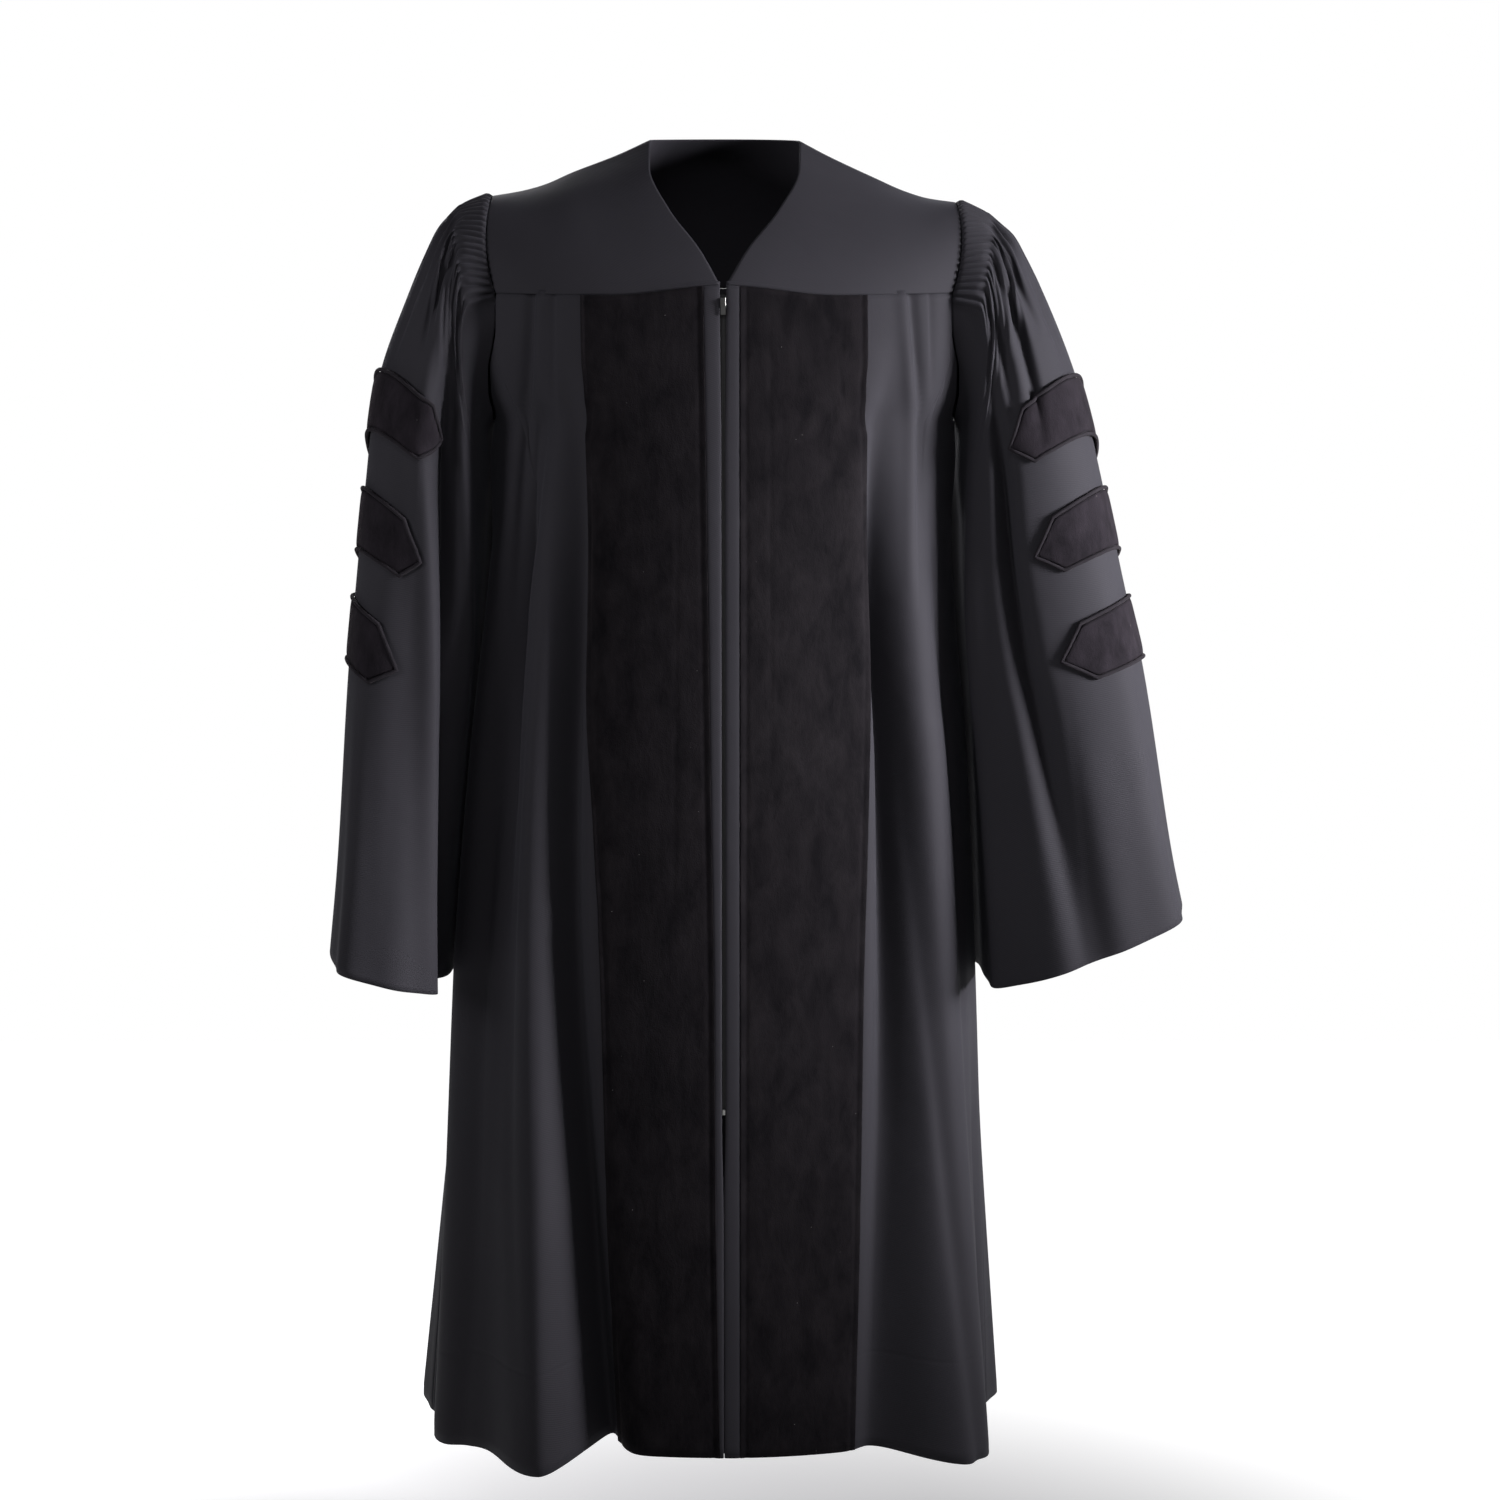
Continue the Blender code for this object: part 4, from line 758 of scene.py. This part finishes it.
FLUTES = 40
FLUTE_REACH = 84.0
FLUTE_DEPTH = 0.0044
BAND = 0.034
FLUTE_TURN = 26.0
ARMHOLE_GAP = 0.0007
HEAD_COLUMNS = 7
UNDERARM = 54
SPREAD = 0.118
SLEEVE = {
    "left": table(
        "reach  out_x  out_z  in_x  in_z  front  back  square",
        (0.0000, 0.2105, -0.0505, 0.2115, -0.2500, 0.066, 0.066, 1.00),
        (0.0300, 0.2377, -0.0638, 0.2155, -0.2600, 0.074, 0.074, 1.00),
        (0.0580, 0.2607, -0.0791, 0.2160, -0.2700, 0.080, 0.080, 0.97),
        (0.0780, 0.2718, -0.0962, 0.2160, -0.2790, 0.083, 0.083, 0.95),
        (0.1140, 0.2886, -0.1279, 0.2160, -0.2980, 0.085, 0.085, 0.92),
        (0.2150, 0.3255, -0.2217, 0.2180, -0.3600, 0.088, 0.090, 0.85),
        (0.3125, 0.3490, -0.3163, 0.2210, -0.4250, 0.092, 0.097, 0.80),
        (0.4104, 0.3708, -0.4117, 0.2260, -0.4950, 0.100, 0.106, 0.78),
        (0.4681, 0.3846, -0.4677, 0.2300, -0.5400, 0.106, 0.112, 0.78),
        (0.6526, 0.4157, -0.6496, 0.2390, -0.7150, 0.132, 0.140, 0.80),
        (0.6965, 0.4249, -0.6925, 0.2410, -0.7640, 0.140, 0.148, 0.80),
    ),
    "right": table(
        "reach  out_x  out_z  in_x  in_z  front  back  square",
        (0.0000, 0.2100, -0.0446, 0.2115, -0.2500, 0.066, 0.066, 1.00),
        (0.0280, 0.2359, -0.0556, 0.2160, -0.2610, 0.074, 0.074, 1.00),
        (0.0540, 0.2561, -0.0710, 0.2170, -0.2720, 0.079, 0.079, 0.97),
        (0.0780, 0.2683, -0.0917, 0.2175, -0.2800, 0.082, 0.082, 0.95),
        (0.1230, 0.2871, -0.1325, 0.2180, -0.3050, 0.084, 0.084, 0.92),
        (0.2120, 0.3167, -0.2171, 0.2220, -0.3600, 0.086, 0.090, 0.85),
        (0.3105, 0.3293, -0.3144, 0.2260, -0.4300, 0.090, 0.097, 0.80),
        (0.4141, 0.3403, -0.4173, 0.2335, -0.5100, 0.098, 0.106, 0.78),
        (0.4694, 0.3458, -0.4723, 0.2385, -0.5600, 0.104, 0.112, 0.78),
        (0.6471, 0.3581, -0.6496, 0.2510, -0.7050, 0.130, 0.140, 0.80),
        (0.7315, 0.3662, -0.7336, 0.2560, -0.7650, 0.140, 0.148, 0.80),
    ),
}
# On a sleeve angle zero is its outer side, 90 its front, 180 the side by the body and -90 its back.
SLEEVE_FOLDS = {
    "left": table(
        FOLD_COLUMNS,
        (0.05, 0.28, 0.6965, 100, 112, 90, 9, 7, 0.000, -0.022, -0.007),
        (0.05, 0.30, 0.6965, 140, 147, 146, 12, 12, 0.000, 0.015, 0.008),
        (0.04, 0.07, 0.13, 38, 42, 48, 5, 5, 0.000, -0.007, 0.000),
        (0.04, 0.09, 0.22, 56, 63, 78, 5, 6, 0.000, -0.010, 0.000),
        (0.04, 0.085, 0.17, 78, 84, 92, 5, 5, 0.000, -0.007, 0.000),
        (0.06, 0.11, 0.20, 24, 27, 31, 5, 5, 0.000, -0.005, 0.000),
        (0.30, 0.50, 0.6965, 55, 50, 45, 14, 14, 0.000, 0.004, 0.012),
        (0.04, 0.09, 0.20, -52, -58, -70, 6, 6, 0.000, -0.009, 0.000),
        (0.04, 0.08, 0.15, -30, -33, -38, 5, 5, 0.000, -0.006, 0.000),
        (0.05, 0.30, 0.6965, -96, -104, -100, 9, 8, 0.000, -0.016, -0.010),
        (0.30, 0.50, 0.6965, -60, -62, -60, 13, 13, 0.000, 0.006, 0.014),
        (0.00, 0.06, 0.6965, -148, -148, -148, 15, 15, 0.000, 0.040, 0.036),
        (0.01, 0.05, 0.18, 180, 180, 180, 26, 26, 0.000, 0.007, 0.000),
    ),
    "right": table(
        FOLD_COLUMNS,
        (0.04, 0.25, 0.7315, 82, 112, 158, 6, 12, -0.004, -0.026, -0.012),
        (0.06, 0.25, 0.7315, 66, 95, 136, 12, 7, 0.000, 0.008, 0.009),
        (0.06, 0.20, 0.55, 112, 136, 168, 8, 10, 0.000, 0.009, 0.000),
        (0.03, 0.06, 0.13, 46, 54, 66, 5, 5, 0.000, -0.009, 0.000),
        (0.05, 0.10, 0.20, 96, 104, 118, 6, 6, 0.000, -0.008, 0.000),
        (0.05, 0.10, 0.19, 26, 30, 36, 5, 5, 0.000, -0.005, 0.000),
        (0.35, 0.55, 0.7315, 52, 58, 66, 13, 13, 0.000, 0.005, 0.010),
        (0.04, 0.09, 0.20, -50, -56, -66, 6, 6, 0.000, -0.009, 0.000),
        (0.04, 0.08, 0.15, -28, -31, -36, 5, 5, 0.000, -0.006, 0.000),
        (0.05, 0.28, 0.7315, -100, -112, -112, 9, 8, 0.000, -0.018, -0.010),
        (0.30, 0.50, 0.7315, -62, -64, -66, 13, 13, 0.000, 0.006, 0.014),
        (0.00, 0.06, 0.7315, -148, -148, -148, 15, 15, 0.000, 0.042, 0.040),
        (0.01, 0.05, 0.18, 180, 180, 180, 26, 26, 0.000, 0.007, 0.000),
    ),
}

def sleeve_base(side, angle, reach):
    """A sleeve's ring without its folds, and the directions out of it."""
    rows = SLEEVE[side]
    value = {name: along(rows, name, reach) for name in rows}
    turn = np.radians(angle)
    cosine = np.cos(turn)
    sine = np.sin(turn)
    across = np.sign(cosine) * np.abs(cosine) ** value["square"]
    forward = np.sign(sine) * np.abs(sine) ** value["square"]
    half_x = (value["out_x"] - value["in_x"]) / 2
    half_z = (value["out_z"] - value["in_z"]) / 2
    width = np.hypot(half_x, half_z)
    depth = np.where(sine > 0, value["front"], value["back"])
    ring = point(value["in_x"] + half_x * (1 + across), -depth * forward, value["in_z"] + half_z * (1 + across))
    lean = cosine / width
    outward = point(lean * half_x / width, -sine / depth, lean * half_z / width)
    return ring, unit(outward)

def flute_places(side, count):
    """Angles evenly spaced along the armhole, over the part of it that is fluted."""
    fine = np.linspace(-FLUTE_REACH, FLUTE_REACH, 400)
    steps = np.linalg.norm(np.diff(armhole_point(side, fine), axis=0), axis=1)
    run = np.concatenate(([0.0], np.cumsum(steps)))
    return np.interp(np.linspace(0, run[-1], count), run, fine)


def sleeve_point(side, angle, reach):
    """The outer face of a sleeve at an angle round it and a reach along its outer side."""
    ring, outward = sleeve_base(side, angle, reach)
    lift = fold_lift(SLEEVE_FOLDS[side], angle, reach)
    start = sleeve_base(side, angle, 0.0)[0]
    fade = np.clip(1 - np.asarray(reach) / 0.064, 0.0, 1.0) ** 2
    edge = (armhole_point(side, angle)[..., 0] * SIDES[side] - start[..., 0]) * fade
    moved = ring + outward * np.expand_dims(lift, -1) + point(edge + ARMHOLE_GAP, 0.0, 0.0)
    return moved * np.array([SIDES[side], 1.0, 1.0])


def sleeve_facing(side, angle, reach):
    return facing(lambda a, r: sleeve_point(side, a, r), angle, reach, 0.3, PROBE, -SIDES[side])


def flute_lift(count, reach):
    """How far a flute stands out, from its number round the head, and the looser gathers that it runs into."""
    inside = np.clip(count, 0.0, FLUTES) == count
    length = BAND + 0.004 * np.sin(count * 1.3) + 0.003 * np.sin(count * 2.9 + 1.0)
    full = np.clip(reach / 0.003, 0.0, 1.0) * np.clip((length + 0.010 - reach) / 0.016, 0.0, 1.0)
    rise = np.abs(np.sin(math.pi * (count + 0.12 * np.sin(count * 1.9) * reach / BAND)))
    release = np.clip((reach - 0.026) / 0.022, 0.0, 1.0) * np.clip((0.13 - reach) / 0.085, 0.0, 1.0) ** 1.5
    uneven = count / 3.9 + 0.35 * np.sin(count * 0.83) + 0.2 * np.sin(count * 1.71 + reach * 9.0)
    gathers = np.sin(2 * math.pi * uneven) * (0.75 + 0.25 * np.sin(count * 0.47 + 1.0))
    ends = np.clip(count / 3.0, 0.0, 1.0) * np.clip((FLUTES - count) / 3.0, 0.0, 1.0)
    return np.where(inside, FLUTE_DEPTH * rise * full + 0.0038 * gathers * release * ends, 0.0)


for side, hand in SIDES.items():
    total = SLEEVE[side]["reach"][-1]
    head = flute_places(side, FLUTES * HEAD_COLUMNS + 1)
    under = np.linspace(FLUTE_REACH, 360 - FLUTE_REACH, UNDERARM + 2)[1:-1]
    fine = np.concatenate((head, under, head[:1] + 360.0))
    count = np.concatenate((np.arange(len(head)) / HEAD_COLUMNS, np.full(UNDERARM, -1.0), [0.0]))
    middle = FLUTES * HEAD_COLUMNS // 2
    even = head[middle] + (np.arange(len(fine)) - middle) * 360.0 / (len(fine) - 1)
    reach = np.concatenate((np.linspace(0, 0.05, 24), np.linspace(0.05, 0.18, 30)[1:], np.linspace(0.18, total, 76)[1:]))
    spread = np.minimum(1.0, reach / SPREAD)[:, None]
    hook = np.minimum(1.0, reach / BAND) * (1.0 - np.clip((reach - BAND - 0.004) / 0.075, 0.0, 1.0)) ** 1.5
    about = (fine + 180.0) % 360.0 - 180.0
    turned = FLUTE_TURN * np.tanh(about / 42.0) * np.clip((140.0 - np.abs(about)) / 62.0, 0.0, 1.0)
    angle = fine + (even - fine) * spread - turned * hook[:, None]
    angle = (angle + 180.0) % 360.0 - 180.0
    reach_grid = np.broadcast_to(reach[:, None], angle.shape)
    spots = sleeve_point(side, angle, reach_grid)
    out = sleeve_facing(side, angle, reach_grid)
    lift = flute_lift(np.broadcast_to(count, angle.shape), reach_grid)
    spots = spots + out * lift[..., None]
    piece, flat, area = sew("sleeve_cloth_" + side, spots, -hand, CLOTH, wool, ring=True)
    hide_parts("sleeve_" + side)


# Velvet panels. A strip of cotton velvet sewn down each front from the yoke to the hem, its edges turned
# under, with a pile that is brushed here and there.

VELVET = 0.0014
LAY_GAP = 0.0005


def piled(name, deep, brushed, scale):
    """Black cotton velvet: a cut pile that is near black head on and pales where it leans or turns away."""
    made, tree = new_material(name)
    coords = node(tree, "ShaderNodeTexCoord")
    brush = node(tree, "ShaderNodeMapping", links={"Vector": coords.outputs["Object"]})
    brush.inputs["Scale"].default_value = (1.0, 1.0, 0.45)
    nap = node(tree, "ShaderNodeTexNoise", values={"Scale": scale, "Detail": 9.0, "Roughness": 0.7, "Distortion": 0.25}, links={"Vector": brush.outputs["Vector"]})
    tone = node(tree, "ShaderNodeValToRGB", links={"Fac": nap.outputs["Fac"]})
    tone.color_ramp.elements[0].position = 0.34
    tone.color_ramp.elements[0].color = linear(deep)
    tone.color_ramp.elements[1].position = 0.66
    tone.color_ramp.elements[1].color = linear(brushed)
    lint = node(tree, "ShaderNodeTexVoronoi", {"feature": "F1"}, {"Scale": 55.0}, {"Vector": coords.outputs["Object"]})
    speck = node(tree, "ShaderNodeMath", {"operation": "LESS_THAN"}, {1: 0.018}, {0: lint.outputs["Distance"]})
    dusted = node(tree, "ShaderNodeMix", {"data_type": "RGBA"}, links={"Factor": speck.outputs[0], 6: tone.outputs["Color"]})
    dusted.inputs[7].default_value = linear("#6e6a6a")
    pile = node(tree, "ShaderNodeTexNoise", values={"Scale": 900.0, "Detail": 1.0}, links={"Vector": coords.outputs["Object"]})
    grain = node(tree, "ShaderNodeBump", values={"Strength": 0.5, "Distance": 0.0004}, links={"Height": pile.outputs["Fac"]})
    lean = node(tree, "ShaderNodeBump", values={"Strength": 0.35, "Distance": 0.003}, links={"Height": nap.outputs["Fac"], "Normal": grain.outputs["Normal"]})
    shader = node(
        tree,
        "ShaderNodeBsdfPrincipled",
        values={"Roughness": 0.95, "Specular IOR Level": 0.05, "Sheen Weight": 0.05, "Sheen Roughness": 0.35},
        links={"Base Color": dusted.outputs[2], "Normal": lean.outputs["Normal"]},
    )
    shader.inputs["Sheen Tint"].default_value = linear("#b3a7ae")
    finish_material(tree, shader)
    return made


velvet = piled("cotton_velvet", "#070608", "#131113", 55.0)


def strip_on_front(side, first, last, columns, top_gap):
    """Points on a front's outer face between two of its edges, and the directions out of it."""
    rows = hanging_rows(FRONT_ROWS)
    drop = YOKE_DROP_CENTRE + (HEM_DROP - YOKE_DROP_CENTRE) * rows
    start = angle_at(side, along(FRONT_EDGES, first, drop), drop)[:, None]
    stop = angle_at(side, along(FRONT_EDGES, last, drop), drop)[:, None]
    share = np.linspace(0, 1, columns)
    share = share - 0.12 * np.sin(2 * math.pi * share)
    angle = start + (stop - start) * share
    top = body_top_drop(side, angle[:1]) + SEAM_GAP + top_gap
    drop = top + (HEM_DROP - top) * rows[:, None]
    return body_point(side, angle, drop), body_facing(side, angle, drop), share


# Creases where the velvet has been folded or pulled by its seams, each from one place to another, as
# distances out from the centre front and drops, with a width and a depth.
CREASE_COLUMNS = "out_a drop_a out_b drop_b width deep"
CREASES = {
    "left": table(
        CREASE_COLUMNS,
        (0.111, 0.152, 0.087, 0.174, 0.0016, -0.0009),
        (0.039, 0.212, 0.046, 0.201, 0.0016, -0.0008),
        (0.041, 0.150, 0.042, 0.560, 0.0018, -0.0005),
        (0.060, 0.520, 0.120, 0.600, 0.0100, -0.0012),
        (0.030, 0.760, 0.100, 0.830, 0.0120, -0.0014),
        (0.050, 0.990, 0.125, 0.950, 0.0100, -0.0012),
        (0.020, 0.330, 0.070, 0.290, 0.0080, -0.0008),
    ),
    "right": table(
        CREASE_COLUMNS,
        (0.060, 0.180, 0.120, 0.230, 0.0080, -0.0008),
        (0.025, 0.430, 0.090, 0.390, 0.0100, -0.0010),
        (0.070, 0.640, 0.135, 0.700, 0.0120, -0.0014),
        (0.030, 0.880, 0.110, 0.940, 0.0110, -0.0013),
        (0.060, 1.080, 0.120, 1.040, 0.0100, -0.0010),
        (0.040, 0.300, 0.045, 0.700, 0.0018, -0.0004),
    ),
}


def velvet_creases(out, drop, creases):
    """How far the creases move the velvet, at distances out from the centre front and drops."""
    lift = 0.0
    for i in range(len(creases["deep"])):
        row = {name: values[i] for name, values in creases.items()}
        run = np.array([row["out_b"] - row["out_a"], row["drop_b"] - row["drop_a"]])
        share = ((out - row["out_a"]) * run[0] + (drop - row["drop_a"]) * run[1]) / (run @ run)
        near = np.clip(share, 0.0, 1.0)
        away = np.hypot(out - row["out_a"] - near * run[0], drop - row["drop_a"] - near * run[1])
        lift = lift + row["deep"] * np.exp(-((away / row["width"]) ** 2)) * (0.4 + 0.6 * np.sin(math.pi * near))
    return lift


for side, hand in SIDES.items():
    spots, out, share = strip_on_front(side, side + "_in", side + "_out", 84, 0.0003)
    width = 0.11
    inset = np.minimum(share, 1 - share) * width
    edge = 0.0007 * np.exp(-((inset / 0.003) ** 2)) - 0.0005 * np.exp(-(((inset - 0.005) / 0.002) ** 2))
    lift = LAY_GAP + VELVET + edge + velvet_creases(np.abs(spots[..., 0]), -spots[..., 2], CREASES[side])
    spots = spots + out * lift[..., None]
    spots[:, 0, 0] += SEAM_GAP * hand
    piece, flat, area = sew("velvet_panel_cloth_" + side, spots, hand, VELVET, velvet)
    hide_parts("velvet_panel_" + side)


# Plackets. A narrow folded band of the wool covers each side of the zip, from the yoke to the hem.

for side, hand in SIDES.items():
    spots, out, share = strip_on_front(side, "centre", side + "_in", 14, 0.0003)
    inset = np.minimum(share, 1 - share) * 0.013
    lift = LAY_GAP + CLOTH + 0.0010 * (1 - np.exp(-inset / 0.0015))
    spots = spots + out * lift[None, :, None]
    spots[:, -1, 0] -= SEAM_GAP * hand
    piece, flat, area = sew("placket_cloth_" + side, spots, hand, CLOTH, wool)
    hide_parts("placket_" + side)


# Sleeve bars. Three velvet bars with pointed ends on each sleeve, each edged with a thin velvet cord.

BAR_LENGTH = 0.236
BAR_HEIGHT = 0.052
BAR_POINT = 0.024
PIPING = 0.0018
PIPING_GAP = 0.0008
BARS = table(
    "number  right_reach  left_reach  right_tilt  left_tilt  right_shift  left_shift  lift",
    (1, 0.2146, 0.2200, -24, -23, 0.048, 0.044, 0.0016),
    (2, 0.3314, 0.3308, -15, -14, 0.030, 0.032, 0.0007),
    (3, 0.4339, 0.4344, -5, -7, 0.012, 0.029, 0.0007),
)
bar_velvet = piled("bar_velvet", "#0f0d10", "#1b181c", 60.0)
# The cord is the same velvet as the bars, coloured lighter: a painted highlight for the thin line of light along its
# round pile.
cord_velvet_painted_highlight = piled("velvet_cord_painted_highlight", "#151316", "#1d1b1e", 60.0)


def ring_runs(side):
    """Angles round a sleeve and, at evenly spaced reaches, the girth from its outer side to each of them."""
    fine = np.linspace(-150, 150, 301)
    reaches = np.linspace(0.08, 0.56, 61)
    rings = sleeve_point(side, fine[None, :] + 0.0 * reaches[:, None], reaches[:, None] + 0.0 * fine[None, :])
    steps = np.linalg.norm(np.diff(rings, axis=1), axis=2)
    run = np.concatenate((np.zeros((len(reaches), 1)), np.cumsum(steps, axis=1)), axis=1)
    return fine, reaches, run - run[:, 150:151]


def on_sleeve(side, number, along_bar, up_bar, lift, runs):
    """Points above a sleeve, from places along and across one of its bars."""
    fine, reaches, table_run = runs
    row = number - 1
    tilt = math.radians(BARS[side + "_tilt"][row])
    girth = BARS[side + "_shift"][row] + along_bar * math.cos(tilt)
    reach = BARS[side + "_reach"][row] + along_bar * math.sin(tilt) - up_bar
    place = (reach - reaches[0]) / (reaches[1] - reaches[0])
    low = np.clip(place.astype(int), 0, len(reaches) - 2)
    part = place - low
    angle = np.empty(girth.shape)
    for index in np.ndindex(*girth.shape):
        a = np.interp(girth[index], table_run[low[index]], fine)
        b = np.interp(girth[index], table_run[low[index] + 1], fine)
        angle[index] = a + (b - a) * part[index]
    return sleeve_point(side, angle, reach) + sleeve_facing(side, angle, reach) * np.expand_dims(lift, -1)


def bar_edge(grow):
    """The corners of a bar's outline, grown evenly, from its back point along the top to the front point."""
    slope = math.hypot(BAR_POINT, BAR_HEIGHT / 2)
    shoulder = BAR_LENGTH / 2 - BAR_POINT + grow * (slope - BAR_POINT) / (BAR_HEIGHT / 2)
    tip = BAR_LENGTH / 2 + grow * slope / (BAR_HEIGHT / 2)
    return shoulder, tip, BAR_HEIGHT / 2 + grow


for side, hand in SIDES.items():
    runs = ring_runs(side)
    for number in (1, 2, 3):
        lift = BARS["lift"][number - 1]
        shoulder, tip, half = bar_edge(0.0)
        share = np.linspace(-1, 1, 73)
        level = np.interp(np.abs(share * tip), [shoulder, tip], [half, 0.0004])
        across, up = np.meshgrid(share * tip, np.linspace(1, -1, 19))
        inset = half - np.abs(up * level)
        rise = lift + VELVET * (1 - 0.55 * np.abs(up) ** 8)
        spots = on_sleeve(side, number, across, up * level[None, :], rise, runs)
        piece, flat, area = sew("bar_cloth_%s_%d" % (side, number), spots, -hand * -1, 0.0012, bar_velvet)
        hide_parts("bar_%s_%d" % (side, number))

        shoulder, tip, half = bar_edge(PIPING + PIPING_GAP)
        corners = [(-tip, 0.0), (-shoulder, half), (shoulder, half), (tip, 0.0), (shoulder, -half), (-shoulder, -half)]
        path_along, path_up = [], []
        for (a, b), (c, d) in zip(corners, corners[1:] + corners[:1]):
            steps = max(3, int(math.hypot(c - a, d - b) / 0.004))
            for i in range(steps):
                path_along.append(a + (c - a) * i / steps)
                path_up.append(b + (d - b) * i / steps)
        path = on_sleeve(side, number, np.array(path_along), np.array(path_up), np.full(len(path_up), lift + PIPING), runs)
        curve = bpy.data.curves.new("piping", "CURVE")
        curve.dimensions = "3D"
        curve.bevel_depth = PIPING
        curve.bevel_resolution = 3
        spline = curve.splines.new("POLY")
        spline.points.add(len(path) - 1)
        for spot, place in zip(spline.points, path):
            spot.co = (*place, 1.0)
        spline.use_cyclic_u = True
        curve.materials.append(cord_velvet_painted_highlight)
        piping = bpy.data.objects.new("piping_cord_%s_%d" % (side, number), curve)
        bpy.context.scene.collection.objects.link(piping)
        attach(piping, "gown")
        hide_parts("piping_%s_%d" % (side, number))


# Zip. A nickel-plated slider and pull tab on a black coil zip that ends above the knees at a small stop.
# The tape is a woven polyester that shows as a dark line between the plackets.

nickel, tree = new_material("nickel_plate")
coords = node(tree, "ShaderNodeTexCoord")
wear = node(tree, "ShaderNodeTexNoise", values={"Scale": 900.0, "Detail": 3.0}, links={"Vector": coords.outputs["Object"]})
rough = node(tree, "ShaderNodeMapRange", values={3: 0.22, 4: 0.4}, links={0: wear.outputs["Fac"]})
shader = node(tree, "ShaderNodeBsdfPrincipled", values={"Metallic": 1.0}, links={"Roughness": rough.outputs[0]})
shader.inputs["Base Color"].default_value = linear("#8f8f8d")
finish_material(tree, shader)

woven_tape, tree = new_material("polyester_zip_tape")
coords = node(tree, "ShaderNodeTexCoord")
threads = node(tree, "ShaderNodeTexWave", {"bands_direction": "Z"}, {"Scale": 300.0}, {"Vector": coords.outputs["Object"]})
relief = node(tree, "ShaderNodeBump", values={"Strength": 0.5, "Distance": 0.0003}, links={"Height": threads.outputs["Fac"]})
shader = node(tree, "ShaderNodeBsdfPrincipled", values={"Roughness": 0.7}, links={"Normal": relief.outputs["Normal"]})
shader.inputs["Base Color"].default_value = linear("#0e0e10")
finish_material(tree, shader)

for name, finish in (("zip_slider", nickel), ("zip_pull", nickel), ("zip_stop", nickel), ("zip_tape", woven_tape)):
    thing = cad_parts[name]
    thing.data.materials.clear()
    thing.data.materials.append(finish)
